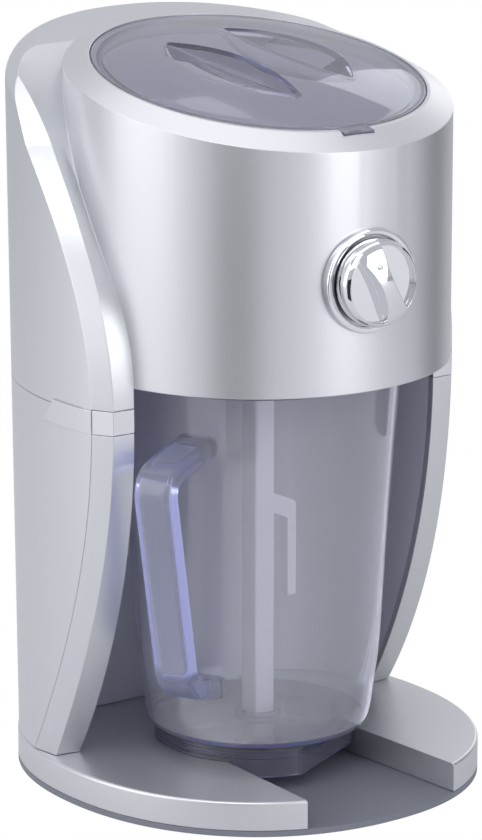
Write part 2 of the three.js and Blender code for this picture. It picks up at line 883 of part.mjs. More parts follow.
function headFloor() {
  const plate = disc(headRadius - headWall - seatGap, headBottom, floorTop, 0, headY, drumSteps);
  const tongue = block(-tongueHalfWidth, tongueHalfWidth, 0, farAway, headBottom, floorTop);
  const inShell = shellBody(-shellWall - seatGap, 0);
  const boss = disc(bushBoss, headBottom, floorTop + bushBossHigh, 0, headY, roundSteps);
  const axles = [
    disc(axleRadius, headBottom, gearBottom + gearHigh + seatGap, 0, idlerY, roundSteps),
    disc(axleRadius, headBottom, wheelBottom + wheelHigh + seatGap, 0, wheelY, roundSteps),
  ];
  let body = joined([plate, tongue.intersect(inShell), boss, ...axles]);
  body = body.subtract(disc(bushRadius + seatGap, 0, farAway, 0, headY, roundSteps));
  body = body.subtract(disc(motorCollar + seatGap, 0, farAway, 0, motorY, roundSteps));
  const way = prism(kidneyShape(chuteWall), headBottom - overrun, farAway, smallSteps);
  return body.subtract(shifted(way, 0, headY, 0));
}

function chute() {
  const [bottom, top] = [floorTop + seatGap, hopperBottom - seatGap];
  const tube = prism(kidneyShape(0), bottom, top, smallSteps);
  const hole = prism(kidneyShape(chuteWall), bottom - overrun, top + overrun, smallSteps);
  return shifted(tube.subtract(hole), 0, headY, 0);
}

function coverOutline(grow, bottom, top) {
  const tip = toothModule * addendumShare + coverRoom + grow;
  const places = [[spindleGearRadius, headY], [idlerRadius, idlerY],
    [wheelRadius, wheelY], [pinionRadius, motorY]];
  return joined(places.map(([radius, y]) => disc(radius + tip, bottom, top, 0, y, roundSteps)));
}

function gearCover() {
  const shell = coverOutline(coverWall, coverBottom, coverRoof);
  const room = coverOutline(0, coverBottom - overrun, coverRoof - coverTop);
  return shell.subtract(room).subtract(disc(bushRadius + seatGap, 0, farAway, 0, headY, roundSteps));
}

function hopper() {
  const knee = hopperBottom + hopperKnee;
  const kneeRadius = hopperFloorRadius + hopperKneeOut;
  const coneTop = hopperBottom + hopperConeHigh;
  const top = deckHeight + rimRise;
  const profile = (inset, floor) => [[0, floor], [hopperFloorRadius - inset, floor],
    [kneeRadius - inset, knee], [hopperRadius - inset, coneTop], [hopperRadius - inset, top], [0, top]];
  let body = turned(profile(0, hopperBottom), jugSteps, 0, headY);
  body = body.intersect(belowDeck(headWall + overrun / 2));
  body = body.subtract(turned(profile(hopperWall, hopperFloorTop), jugSteps, 0, headY));
  body = body.subtract(disc(bushRadius + seatGap, 0, farAway, 0, headY, roundSteps));
  const [near, far] = [headY - windowInner, headY - windowOuter];
  const [under, over] = [hopperBottom - overrun, hopperFloorTop + overrun];
  body = body.subtract(block(-windowHalf, windowHalf, far, near, under, over));
  for (const [x, y] of bladeScrewPlaces()) {
    body = body.subtract(disc(bladeScrewShank + seatGap, under, over, x, y));
  }
  return body;
}

// Blade: a strip along the radius, sharpened on the edge that hangs over the window
function bladeScrewPlaces() {
  const x = bladeEdge + bladeWide - bladeScrewInset;
  return [bladeInner + bladeScrewInset, bladeOuter - bladeScrewInset].map((radius) => [x, headY - radius]);
}

function blade() {
  const shape = new THREE.Shape();
  shape.moveTo(bladeEdge, bladeBottom);
  shape.lineTo(bladeEdge + bladeWide, bladeBottom);
  shape.lineTo(bladeEdge + bladeWide, bladeBottom + bladeThick);
  shape.lineTo(bladeEdge + bladeBevel, bladeBottom + bladeThick);
  let body = frontPrism(shape, headY - bladeOuter, headY - bladeInner);
  for (const [x, y] of bladeScrewPlaces()) {
    body = body.subtract(disc(bladeScrewShank + seatGap, 0, farAway, x, y));
  }
  return body;
}

function bladeScrews() {
  const headTop = hopperBottom - seatGap;
  const tip = bladeBottom + bladeThick;
  const profile = [[0, headTop - bladeScrewHeadHigh], [bladeScrewHead, headTop - bladeScrewHeadHigh],
    [bladeScrewHead, headTop], [bladeScrewShank, headTop], [bladeScrewShank, tip], [0, tip]];
  return bladeScrewPlaces().map(([x, y]) => turned(profile, smallSteps, x, y));
}

// Extrudes an outline drawn in the front view (x, z) from one y to another
function frontPrism(shape, fromY, toY) {
  const options = { depth: toY - fromY, bevelEnabled: false, curveSegments: smallSteps };
  const geometry = new THREE.ExtrudeGeometry(shape, options);
  geometry.rotateX(Math.PI / 2);
  geometry.translate(0, toY, 0);
  return solid(geometry);
}

// One swept vane of the pusher, as a band along an arc that trails behind the hub
function vane(turn) {
  const reach = hopperFloorRadius - hopperWall - vaneClear;
  const sweep = THREE.MathUtils.degToRad(vaneSweepDeg);
  const [front, back] = [[], []];
  for (let i = 0; i <= vaneSteps; i += 1) {
    const share = i / vaneSteps;
    const radius = pusherTop + (reach - pusherTop) * share;
    const angle = turn - sweep * share ** 2;
    const thick = vaneThick / 2 / radius;
    front.push(new THREE.Vector2(radius * Math.cos(angle + thick), radius * Math.sin(angle + thick)));
    back.push(new THREE.Vector2(radius * Math.cos(angle - thick), radius * Math.sin(angle - thick)));
  }
  return prism(new THREE.Shape([...front, ...back.reverse()]), pusherBottom, pusherBottom + vaneHigh);
}

function icePusher() {
  const top = pusherBottom + pusherHigh;
  const profile = [[0, pusherBottom], [pusherHub, pusherBottom], [pusherHub, pusherBottom + vaneHigh],
    [pusherTop, top - pusherTop / 2], [pusherTop / 2, top], [0, top]];
  const vanes = Array.from({ length: vaneCount }, (_, i) => vane((2 * Math.PI * i) / vaneCount));
  const body = joined([turned(profile, roundSteps), ...vanes]);
  const bore = disc(spindleRadius + seatGap, 0, top - pusherSkin, 0, 0, roundSteps);
  return shifted(body.subtract(bore), 0, headY, 0);
}

function spindle() {
  const bottom = dogBottom + slotDeep + seatGap;
  return disc(spindleRadius, bottom, pusherBottom + pusherHigh - pusherSkin - seatGap, 0, headY, roundSteps);
}

function driveDog() {
  let body = disc(dogRadius, dogBottom, dogTop, 0, headY, roundSteps);
  const width = tangThick / 2 + slotClear;
  const [front, back] = [headY - dogRadius - overrun, headY + dogRadius + overrun];
  body = body.subtract(block(-width, width, front, back, 0, dogBottom + slotDeep));
  return body.subtract(disc(spindleRadius + seatGap, 0, farAway, 0, headY, roundSteps));
}

function bush(bottom, top) {
  return ring(boreFor(spindleRadius), bushRadius, bottom, top, 0, headY, roundSteps);
}

// Gears: each flank runs straight between the two ends of its involute
function involute(angle) {
  return Math.tan(angle) - angle;
}

// The angle of a gear's first tooth when a gap between its teeth faces the front
function gapAtFront(teeth) {
  return -rearDeg + halfTurnDeg / teeth;
}

function gearShape(teeth, firstDeg) {
  const pitch = toothModule * teeth / 2;
  const pressure = THREE.MathUtils.degToRad(pressureDeg);
  const baseRadius = pitch * Math.cos(pressure);
  const thickness = (Math.PI * toothModule / 2 - backlash / 2) / 2 / pitch;
  const halfAngle = (radius) => {
    const slope = Math.acos(Math.min(baseRadius / radius, 1));
    return thickness + involute(pressure) - involute(slope);
  };
  const radii = [pitch - dedendumShare * toothModule, pitch + addendumShare * toothModule];
  const points = [];
  for (let i = 0; i < teeth; i += 1) {
    const middle = THREE.MathUtils.degToRad(firstDeg) + (2 * Math.PI * i) / teeth;
    for (const radius of radii) points.push([radius, middle - halfAngle(radius)]);
    for (const radius of [...radii].reverse()) points.push([radius, middle + halfAngle(radius)]);
  }
  return new THREE.Shape(points.map(([radius, angle]) =>
    new THREE.Vector2(radius * Math.cos(angle), radius * Math.sin(angle))));
}

function gear(teeth, firstDeg, bottom, top) {
  return prism(gearShape(teeth, firstDeg), bottom, top);
}

function spindleGear() {
  const top = gearBottom + gearHigh;
  const hub = disc(hubRadius, top, top + hubHigh, 0, 0, roundSteps);
  const bore = disc(spindleRadius + seatGap, 0, farAway, 0, 0, roundSteps);
  return shifted(gear(spindleTeeth, rearDeg, gearBottom, top).add(hub).subtract(bore), 0, headY, 0);
}

function idlerGear() {
  const body = gear(idlerTeeth, gapAtFront(idlerTeeth), gearBottom, gearBottom + gearHigh);
  return shifted(body.subtract(disc(boreFor(axleRadius), 0, farAway, 0, 0, roundSteps)), 0, idlerY, 0);
}

// An idler with an odd number of teeth has a tooth where it meets the small gear, an even one a gap
const smallStartDeg = idlerTeeth % 2 ? gapAtFront(pinionTeeth) : -rearDeg;

function reductionGear() {
  const small = gear(pinionTeeth, smallStartDeg, gearBottom, gearBottom + gearHigh);
  const neckRadius = pinionRadius - dedendumShare * toothModule;
  const neck = disc(neckRadius, gearBottom, wheelBottom, 0, 0, roundSteps);
  const large = gear(wheelTeeth, rearDeg, wheelBottom, wheelBottom + wheelHigh);
  const body = joined([small, neck, large]);
  return shifted(body.subtract(disc(boreFor(axleRadius), 0, farAway, 0, 0, roundSteps)), 0, wheelY, 0);
}

function motorPinion() {
  const body = gear(pinionTeeth, gapAtFront(pinionTeeth), wheelBottom, wheelBottom + wheelHigh);
  return shifted(body.subtract(disc(motorShaft + seatGap, 0, farAway, 0, 0, roundSteps)), 0, motorY, 0);
}

function motorBody() {
  const top = headBottom - seatGap;
  const bottom = top - motorLength;
  const bellTop = bottom + motorRadius - motorBell;
  const profile = [[0, bottom], [motorBell, bottom], [motorRadius, bellTop], [motorRadius, top],
    [motorCollar, top], [motorCollar, top + motorCollarHigh], [0, top + motorCollarHigh]];
  const body = turned(profile, roundSteps, 0, motorY);
  return body.subtract(disc(boreFor(motorShaft), top - motorShaftSink, farAway, 0, motorY, roundSteps));
}

function motorSpindle() {
  const bottom = headBottom - motorShaftSink;
  return disc(motorShaft, bottom, wheelBottom + wheelHigh, 0, motorY, roundSteps);
}

// Knob pieces, drawn in the knob's own frame

function knobBezel() {
  const depth = headWall * 2;
  const body = moved(ring(ringInner, ringOuter, -depth, ringProud, 0, 0, jugSteps), knobFrame());
  return body.subtract(disc(headRadius + seatGap, 0, farAway, 0, headY, 2 * drumSteps));
}

function knob() {
  const crown = [];
  for (let i = 1; i <= domeSteps; i += 1) {
    const angle = (Math.PI / 2) * (i / domeSteps);
    crown.push([knobRadius * Math.cos(angle), knobEdge + (knobReach - knobEdge) * Math.sin(angle)]);
  }
  let body = turned([[0, knobClear], [knobRadius, knobClear], [knobRadius, knobEdge], ...crown], jugSteps);
  const floor = knobReach - knobPocketDeep;
  const hollowRadius = (knobPocketRadius ** 2 - 2 * knobBarHalf * knobBarBulge) / 2 / knobBarBulge;
  for (const side of [-1, 1]) {
    const pocket = disc(knobPocketRadius, floor, farAway, 0, 0, jugSteps);
    const flank = disc(hollowRadius, floor, farAway, side * (knobBarHalf + hollowRadius), 0, 2 * drumSteps);
    body = body.subtract(pocket.intersect(flank));
  }
  body = body.add(disc(knobDot, floor, knobReach, 0, knobRadius / 2));
  body = body.add(disc(stemRadius, -headWall - switchBore, knobEdge, 0, 0, roundSteps));
  const turn = new THREE.Matrix4().makeRotationZ(THREE.MathUtils.degToRad(knobTurnDeg));
  return moved(body, knobFrame().multiply(turn));
}

function rotarySwitch() {
  const front = -(headRadius - Math.sqrt((headRadius - headWall) ** 2 - switchHalf ** 2)) - 2 * seatGap;
  const box = block(-switchHalf, switchHalf, -switchHalf, switchHalf, front - switchDeep, front);
  const bore = disc(stemRadius + turnGap, front - switchDeep + overrun, farAway, 0, 0, roundSteps);
  return moved(box.subtract(bore), knobFrame());
}

// Lid, drawn in its own frame

// A lens-shaped hollow that is deep beside the grip bar and runs out at its outer edge and tips
function lens(side, grow) {
  const sections = [];
  for (let i = 0; i <= lensSteps; i += 1) {
    const share = lensEndShare * (2 * i / lensSteps - 1);
    const bulge = 1 - share ** 2;
    const near = side * (lensTipX - lensInnerBulge * bulge - grow);
    const far = side * (lensTipX + lensOuterBulge * bulge + grow);
    const y = share * (lensLength / 2 + grow);
    const surface = lidCrown * (1 - (lensTipX ** 2 + y ** 2) / openingRadius ** 2);
    const deep = surface - grow - lensShallow - (lensDeep - lensShallow) * bulge;
    const shallow = surface - grow - lensShallow;
    sections.push([new THREE.Vector3(near, y, farAway), new THREE.Vector3(near, y, deep),
      new THREE.Vector3(far, y, shallow), new THREE.Vector3(far, y, farAway)]);
  }
  return loft(sections, (point) => new THREE.Vector2(point.x, point.z));
}

function domeProfile(radius, bottom, crown) {
  const points = [];
  for (let i = 0; i <= domeSteps; i += 1) {
    const share = 1 - i / domeSteps;
    points.push([radius * share, crown * (1 - share ** 2)]);
  }
  return [[0, bottom], [radius, bottom], ...points];
}

function lid() {
  const skirtOuter = openingRadius - seatGap;
  const skirtInner = skirtOuter - lidSkirtThick;
  const shell = joined([
    turned([[0, -lidThick], [lidRadius, -lidThick], [lidRadius, 0], [0, 0]], drumSteps),
    turned(domeProfile(skirtOuter, -lidThick, lidCrown), drumSteps),
    disc(skirtOuter, -lidThick - lidSkirtDeep, 0, 0, 0, drumSteps),
    prism(tabShape(0), -lidThick, 0),
    prong(0),
  ]);
  const room = turned(domeProfile(skirtInner, -farAway, lidCrown), drumSteps);
  let body = shell.subtract(shifted(room, 0, 0, -lidThick));
  const dome = turned(domeProfile(skirtInner, -lidThick - lidSkirtDeep, lidCrown), drumSteps);
  const turn = new THREE.Matrix4().makeRotationZ(THREE.MathUtils.degToRad(lensTurnDeg));
  const cups = [-1, 1].map((side) => moved(lens(side, lensWall), turn));
  const wells = [-1, 1].map((side) => moved(lens(side, 0), turn));
  for (const cup of cups) body = body.add(cup.intersect(dome));
  for (const well of wells) body = body.subtract(well);
  return moved(body, lidFrame());
}

function plunger() {
  const neck = -plungerHeadHigh;
  const profile = [[0, -plungerLength], [plungerRadius, -plungerLength], [plungerRadius, neck],
    [plungerHead, neck], [plungerHead, 0], [0, 0]];
  return moved(turned(profile, smallSteps), plungerFrame());
}

function interlockSwitch() {
  const top = -plungerHeadHigh - plungerTravel - seatGap;
  const [wide, deep] = [interlockWide / 2, interlockDeep / 2];
  const bore = disc(plungerRadius + turnGap, -plungerLength - plungerTravel - seatGap, 0);
  const box = block(-wide, wide, -deep, deep, top - interlockHigh, top).subtract(bore);
  const [inner, outer] = [hopperRadius + runRoom, headRadius - headWall - seatGap];
  return moved(box, plungerFrame()).intersect(ring(inner, outer, 0, farAway, 0, headY, drumSteps));
}

// Jug pieces, drawn about the jug's own axis

function jugProfile(inset, floor) {
  const place = ([radiusShare, heightShare]) => {
    const radius = jugFloorRadius * radiusShare;
    return [radius - inset, jugBottom + jugHeight * heightShare];
  };
  const flank = jugFlankShares.map(([radiusShare, heightShare]) =>
    [jugRimRadius * radiusShare - inset, jugBottom + jugHeight * heightShare]);
  const outline = [...jugHeelShares.map(place), ...flank, [jugRimRadius - inset, jugRim]];
  const kept = outline.filter(([, height]) => height > floor);
  const [first, mouth] = [kept[0][0], kept[kept.length - 1][0]];
  return [[0, floor], [first - jugBead, floor], ...kept, [mouth, jugRim + inset], [0, jugRim + inset]];
}

function towards(degrees, radius, height) {
  const angle = THREE.MathUtils.degToRad(degrees);
  const matrix = new THREE.Matrix4().makeRotationZ(angle);
  return matrix.setPosition(radius * Math.cos(angle), headY + radius * Math.sin(angle), height);
}

function jugBody() {
  const spout = (inset, top) => {
    const radius = jugRimRadius + spoutReach - spoutRadius;
    const profile = [[0, jugRim - spoutHigh], [spoutTip - inset, jugRim - spoutHigh],
      [spoutRadius - inset, jugRim], [spoutRadius - inset, top], [0, top]];
    return moved(turned(profile, roundSteps), towards(handleAngleDeg + halfTurnDeg, radius, 0));
  };
  const outer = turned(jugProfile(0, jugBottom), jugSteps, 0, headY).add(spout(0, jugRim));
  const room = turned(jugProfile(jugWall, jugFloor), jugSteps, 0, headY);
  const inner = room.add(spout(jugWall, jugRim + jugWall));
  const pin = disc(pivotRadius, jugBottom, jugFloor + pivotHigh, 0, headY, roundSteps);
  const floorRing = ring(pivotRing - pivotRingWall, pivotRing, jugBottom, jugFloor + pivotRingHigh,
    0, headY, roundSteps);
  return joined([outer.subtract(inner), pin, floorRing]);
}

// The handle's middle line, seen from the side: out, down and back in
function handlePath() {
  const [topZ, lowZ] = [jugRim - handleTopDrop, jugBottom + handleLowRise];
  const [topWall, lowWall] = [wallAt(topZ), wallAt(lowZ)];
  const [topOut, lowOut] = [topWall + handleTopReach, lowWall + handleLowReach];
  const corner = (r0, z0, r1, z1, r2, z2, bend0, bend1) => {
    const [from, mid, to] = [new THREE.Vector2(r0, z0), new THREE.Vector2(r1, z1), new THREE.Vector2(r2, z2)];
    const enter = mid.clone().add(from.clone().sub(mid).setLength(bend0));
    const leave = mid.clone().add(to.clone().sub(mid).setLength(bend1));
    return new THREE.QuadraticBezierCurve(enter, mid, leave);
  };
  const [topEnd, lowEnd] = [topZ - handleTopFall, lowZ + handleLowLift];
  const top = corner(topWall, topZ, topOut, topEnd, lowOut, lowEnd, handleTopBend, handleTopBend);
  const low = corner(topOut, topEnd, lowOut, lowEnd, lowWall, lowZ, handleLowBend, handleLowBend);
  const path = new THREE.CurvePath();
  path.add(new THREE.LineCurve(new THREE.Vector2(topWall - handleRoot, topZ), top.v0));
  path.add(top);
  path.add(new THREE.LineCurve(top.v2, low.v0));
  path.add(low);
  path.add(new THREE.LineCurve(low.v2, new THREE.Vector2(lowWall - handleRoot, lowZ)));
  return path;
}

// Outer radius of the jug's wall at a height
function wallAt(height) {
  const points = jugProfile(0, jugBottom);
  for (let i = 1; i < points.length; i += 1) {
    const [[r0, z0], [r1, z1]] = [points[i - 1], points[i]];
    if (height >= z0 && height < z1) return r0 + (r1 - r0) * (height - z0) / (z1 - z0);
  }
  return jugRimRadius;
}

function jugHandle() {
  const path = handlePath();
  const rings = [];
  const corner = handleThick * handleCornerShare;
  for (let i = 0; i <= handleSteps; i += 1) {
    const share = i / handleSteps;
    const middle = path.getPointAt(share);
    const along = path.getTangentAt(share);
    const across = new THREE.Vector2(-along.y, along.x);
    const [w, t] = [handleWide / 2, handleThick / 2];
    const outline = [[-w, -t + corner], [-w + corner, -t], [w - corner, -t], [w, -t + corner],
      [w, t - corner], [w - corner, t], [-w + corner, t], [-w, t - corner]];
    rings.push(outline.map(([side, out]) =>
      new THREE.Vector3(middle.x + across.x * out, side, middle.y + across.y * out)));
  }
  const bar = loft(rings, (point) => new THREE.Vector2(point.y, point.z));
  const body = moved(bar, towards(handleAngleDeg, 0, 0));
  return body.subtract(turned(jugProfile(-seatGap, jugBottom - jugBeadHigh), jugSteps, 0, headY));
}

function heelOutline(inset, bottom, top) {
  const body = disc(heelRadius - inset, bottom, top, 0, 0, jugSteps);
  const flat = block(-farAway, farAway, inset - heelFlat, heelFlat - inset, bottom, top);
  return moved(body.intersect(flat), towards(handleAngleDeg, 0, 0));
}

function lug(inset, bottom, top) {
  return prism(recessShape(lugClear + inset), bottom, top).intersect(heelOutline(inset, bottom, top));
}

function jugFoot() {
  const lugBottom = heelBottom - lugDepth;
  let body = heelOutline(0, heelBottom, heelTop).add(lug(0, lugBottom, heelBottom + heelSkin));
  for (const share of heelGrooveShares) {
    const height = heelBottom + heelHeight * share;
    const band = heelOutline(-overrun, height, height + heelGroove);
    body = body.subtract(band.subtract(heelOutline(heelGroove, height, height + heelGroove)));
  }
  const room = heelOutline(heelWall, heelBottom + heelSkin, heelTop - heelSkin);
  return body.subtract(room).subtract(lug(heelWall, lugBottom - overrun, heelTop - heelSkin));
}

// Paddle: a square shaft with a hooked arm and a tang that fits the drive dog

function shaftShape(width, chamfer) {
  const [w, c] = [width / 2, width / 2 - chamfer];
  return new THREE.Shape([[c, -w], [w, -c], [w, c], [c, w], [-c, w], [-w, c], [-w, -c], [-c, -w]]
    .map(([x, y]) => new THREE.Vector2(x, y)));
}

function paddle() {
  const bottom = jugFloor + turnGap;
  const shoulder = dogBottom - turnGap - tangRise;
  const [thick, long] = [tangThick / 2, tangLong / 2];
  const body = [
    prism(shaftShape(shaftWide, shaftChamfer), bottom, shoulder),
    block(-thick, thick, -long, long, shoulder - thick, dogBottom + slotDeep - turnGap),
  ];
  const [rootZ, tipZ] = [jugFloor + armRootRise, jugFloor + armTip];
  const arm = new THREE.Shape();
  arm.moveTo(0, rootZ);
  arm.lineTo(0, rootZ - 2 * armWide);
  arm.lineTo(armOut - armWide / 2, rootZ - armDrop - armWide);
  arm.lineTo(armOut - armWide / 2, tipZ);
  arm.lineTo(armOut + armWide / 2, tipZ);
  arm.lineTo(armOut + armWide / 2, rootZ - armDrop + armWide / 2);
  body.push(frontPrism(arm, -armWide / 2, armWide / 2));
  const bore = disc(boreFor(pivotRadius), 0, jugFloor + pivotHigh + turnGap, 0, 0, roundSteps);
  return shifted(joined(body).subtract(bore), 0, headY, 0);
}

const model = new THREE.Group();

function place(name, body, finish) {
  const mesh = body.getMesh();
  const geometry = new THREE.BufferGeometry();
  geometry.setAttribute('position', new THREE.Float32BufferAttribute(mesh.vertProperties, 3));
  geometry.setIndex([...mesh.triVerts]);
  const item = new THREE.Mesh(geometry, new THREE.MeshStandardMaterial(finish));
  item.name = name;
  model.add(item);
}

feet().forEach((body, i) => place(`foot_${i + 1}`, body, rubber));
place('base_plate', basePlate(), slate);
place('base_platform', platform(), silver);
baseScrews().forEach((body, i) => place(`base_screw_${i + 1}`, body, steel));
place('rear_shell_lower', rearShell(), silver);
place('column_liner', liner(), slate);
place('cord_gland', cordGland(), black);
for (const [side, word] of [[-1, 'left'], [1, 'right']]) {
  place(`rib_lower_${word}`, rib(side, platformTop + seatGap, trimBottom), silver);
  place(`waist_trim_${word}`, waistTrim(side), chrome);
}
place('head_shell', headShell(), silver);
place('head_floor', headFloor(), slate);
place('ice_chute', chute(), white);
place('gear_cover', gearCover(), black);
place('bush_lower', bush(headBottom, headBottom + bushLength), brass);
place('bush_upper', bush(coverRoof - coverTop, hopperFloorTop), brass);
place('spindle', spindle(), steel);
place('spindle_gear', spindleGear(), white);
place('idler_gear', idlerGear(), white);
place('reduction_gear', reductionGear(), white);
place('motor_pinion', motorPinion(), steel);
place('motor_shaft', motorSpindle(), steel);
place('motor_body', motorBody(), steel);
place('drive_dog', driveDog(), black);
place('hopper', hopper(), white);
place('blade', blade(), steel);
bladeScrews().forEach((body, i) => place(`blade_screw_${i + 1}`, body, steel));
place('ice_pusher', icePusher(), white);
place('knob_bezel', knobBezel(), chrome);
place('knob', knob(), chrome);
place('rotary_switch', rotarySwitch(), black);
place('lid', lid(), lilac);
place('interlock_plunger', plunger(), white);
place('interlock_switch', interlockSwitch(), black);
place('jug_body', jugBody(), lilac);
place('jug_handle', jugHandle(), lilac);
place('jug_foot', jugFoot(), lilac);
place('paddle', paddle(), white);

export default model;
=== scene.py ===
import json
import math

import bmesh
import bpy
from mathutils import Matrix, Vector

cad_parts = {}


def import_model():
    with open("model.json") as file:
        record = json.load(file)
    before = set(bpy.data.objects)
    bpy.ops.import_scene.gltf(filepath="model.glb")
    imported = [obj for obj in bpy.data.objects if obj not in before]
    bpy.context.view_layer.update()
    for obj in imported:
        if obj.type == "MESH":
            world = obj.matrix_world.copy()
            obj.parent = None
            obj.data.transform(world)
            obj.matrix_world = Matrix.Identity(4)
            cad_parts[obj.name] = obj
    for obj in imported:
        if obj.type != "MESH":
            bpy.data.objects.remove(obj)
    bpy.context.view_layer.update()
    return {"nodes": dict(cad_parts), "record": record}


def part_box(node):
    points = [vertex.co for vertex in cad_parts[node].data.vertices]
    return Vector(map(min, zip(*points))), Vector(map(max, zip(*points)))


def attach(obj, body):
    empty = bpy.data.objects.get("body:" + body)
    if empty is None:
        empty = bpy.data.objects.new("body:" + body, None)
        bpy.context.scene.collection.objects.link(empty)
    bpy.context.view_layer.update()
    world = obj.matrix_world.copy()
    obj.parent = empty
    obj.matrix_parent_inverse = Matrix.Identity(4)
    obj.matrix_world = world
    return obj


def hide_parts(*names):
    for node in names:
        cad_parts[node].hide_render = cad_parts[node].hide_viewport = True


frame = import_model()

# Shapes are drawn in millimetres, with the front along -Y, and are scaled to metres when they are shown
MM = 0.001
SEAT_GAP = 0.3
TURN_GAP = 0.35
OVERRUN = 2
FAR = 400
SIDE_TOP = 400

# How finely round forms are drawn
PLAN_STEPS = 240
DRUM_STEPS = 240
JUG_STEPS = 160
ROUND_STEPS = 48
SHOULDER_STEPS = 12
SIDE_STEPS = 90
CURVE_STEPS = 16
LENS_STEPS = 36
RISE_STEPS = 8
EDGE_STEPS = 6
SMALL_EDGE_STEPS = 4

# Angles in degrees above which an edge is shown sharp; the bevelled corner's creases are shallow
SHARP = 30
CREASE_SHARP = 11


def low(node, axis):
    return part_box(node)[0][axis] / MM


def high(node, axis):
    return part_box(node)[1][axis] / MM


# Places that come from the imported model
HEAD_Y = (low("hopper", 1) + high("hopper", 1)) / 2
BASE_HALF_WIDTH = high("base_plate", 0)
BASE_HALF_LENGTH = high("base_plate", 1)
PLATE_BOTTOM = low("base_plate", 2)
PLATE_TOP = high("base_plate", 2)
PLATFORM_BOTTOM = low("base_platform", 2)
PLATFORM_TOP = high("base_platform", 2)
COLUMN_BOTTOM = low("rear_shell_lower", 2)
TRIM_BOTTOM = high("rib_lower_left", 2)
SEAM_HEIGHT = high("rear_shell_lower", 2) + SEAT_GAP
HEAD_BOTTOM = low("head_floor", 2)
HEEL_TOP = high("jug_foot", 2)
JUG_BOTTOM = low("jug_body", 2)
JUG_RIM = high("jug_body", 2)

# Column and head. The plan is a superellipse of this power, and the walls lean out over a span of height
PLAN_POWER = 2.15
SHELL_HALF_WIDTH = BASE_HALF_WIDTH - 0.5
SHELL_HALF_LENGTH = BASE_HALF_LENGTH - 0.5
LEAN_WIDTH = 2.5
LEAN_LENGTH = 3.5
LEAN_SPAN = 340
SHELL_WALL = 2.5
FRONT_WALL = SHELL_WALL * 1.5
SHOULDER_RADIUS = 18
TRIM_TOP = TRIM_BOTTOM + 12.8
TRIM_PROUD = 0.8
TAIL_TOP = 6.5
TAIL_BOTTOM = 17.5
HEAD_RADIUS = SHELL_HALF_WIDTH - 16
HEAD_WALL = 2.5
DECK_HEIGHT = HEAD_BOTTOM + 140.5
TILT = math.radians(11)
FRONT_TURN = math.radians(-3)
RIM_RISE = 6
RIM_TOP_RADIUS = HEAD_RADIUS - 11.5
OPENING_RADIUS = RIM_TOP_RADIUS - 5
LINER_HALF_WIDTH = HEAD_RADIUS - 3
LINER_BACK = SHELL_HALF_LENGTH - 50.5
LINER_CORNER = 45
LINER_THICK = 2

# Side view lines of the column's front: foremost place, its height, and the radii above and below it.
# BAND is the crease on the side where the bevelled corner begins, CORNER the one where it ends, and INNER the
# edge at the bay. Above INNER's height, INNER_RISE has (height gained, distance set back) for the valley.
# STEEPEST ends the arcs at that share of their radii
BAND = (HEAD_Y - 14.7, HEAD_BOTTOM - 15, 178, 330)
CORNER = (HEAD_Y - 24.8, HEAD_BOTTOM - 12, 189, 374)
INNER = (HEAD_Y - 25, HEAD_BOTTOM - 18, 300, 362)
INNER_RISE = [(0, 0), (20, 0.6), (40, 3), (57, 8.5), (75, 18.5), (100, 35.5), (125, 54), (137, 62), (150, 66),
              (167, 68), (200, 69)]
INNER_OVERLAP = 1
STEEPEST = 0.97

# Bevelled corner: how far CORNER lies inside the side, and how much further beside the head, where it moves
# back too. The bevel's plane runs on past the side, and above the growth the front follows BAND in part
CORNER_INSET = 4.5
CORNER_GROWTH = 7
GROWTH_BACK = 1.3
GROWTH_START = HEAD_BOTTOM + 2
GROWTH_SPAN = 113
BEVEL_REACH = 6
RUN_OUT = 0.65

# Base
PLATFORM_EDGE = 1.6
PLATFORM_WALL = 2.5
PLATFORM_SKIN = 3
RECESS_HALF_WIDTH = 42.6
RECESS_FLARE = math.radians(2.5)
RECESS_BACK = HEAD_Y + 29.5

# Feet and base screws, placed at shares of the base's half width and half length
FEET_SHARE = 0.64
FOOT_RADIUS = 9
FOOT_SINK = 2
SCREW_SHARES = [(0.7, -0.38), (0.62, 0.5)]
SCREW_HEAD = 3.5
SCREW_HEAD_HIGH = 1.6
SCREW_SHANK = 1.6

# Lid, in its own tilted frame
LID_RADIUS = OPENING_RADIUS + 3.2
LID_THICK = 3
LID_EDGE = 0.6
LID_CROWN = 8.5
SKIRT_THICK = 2.6
SKIRT_DEEP = 5
TAB_HALF_WIDTH = 9
TAB_REACH = 5.5
PRONG_HALF_WIDTH = 3.5
PRONG_THICK = 3.6
PRONG_INSET = 0.8
PRONG_DROP = 6.2
PRONG_CLEAR = 0.4
LENS_LENGTH = 88
LENS_TIP_X = 21.5
LENS_INNER_BULGE = 11.5
LENS_OUTER_BULGE = 25
LENS_DEEP = 10.6
LENS_SHALLOW = 1.4
LENS_END = 0.97
LENS_WALL = 1.8
LENS_EDGE = 0.5
LENS_ROUND = 2
LENS_TURN = math.radians(16)

# Knob and its ring
KNOB_HEIGHT = HEAD_BOTTOM + 56.4
KNOB_RADIUS = 22
KNOB_REACH = 16.6
KNOB_CLEAR = 1
KNOB_EDGE = 8.5
POCKET_RADIUS = 19.6
POCKET_DEEP = 7.5
BAR_HALF = 3.6
BAR_BULGE = 3.4
KNOB_TURN = math.radians(26)
KNOB_DOT = 1.3
STEM_RADIUS = 3
STEM_LENGTH = 11.5
BEZEL_INNER = 22.8
BEZEL_OUTER = 26.4
BEZEL_PROUD = 2.2
BEZEL_ROUND = (BEZEL_OUTER - BEZEL_INNER) / 3

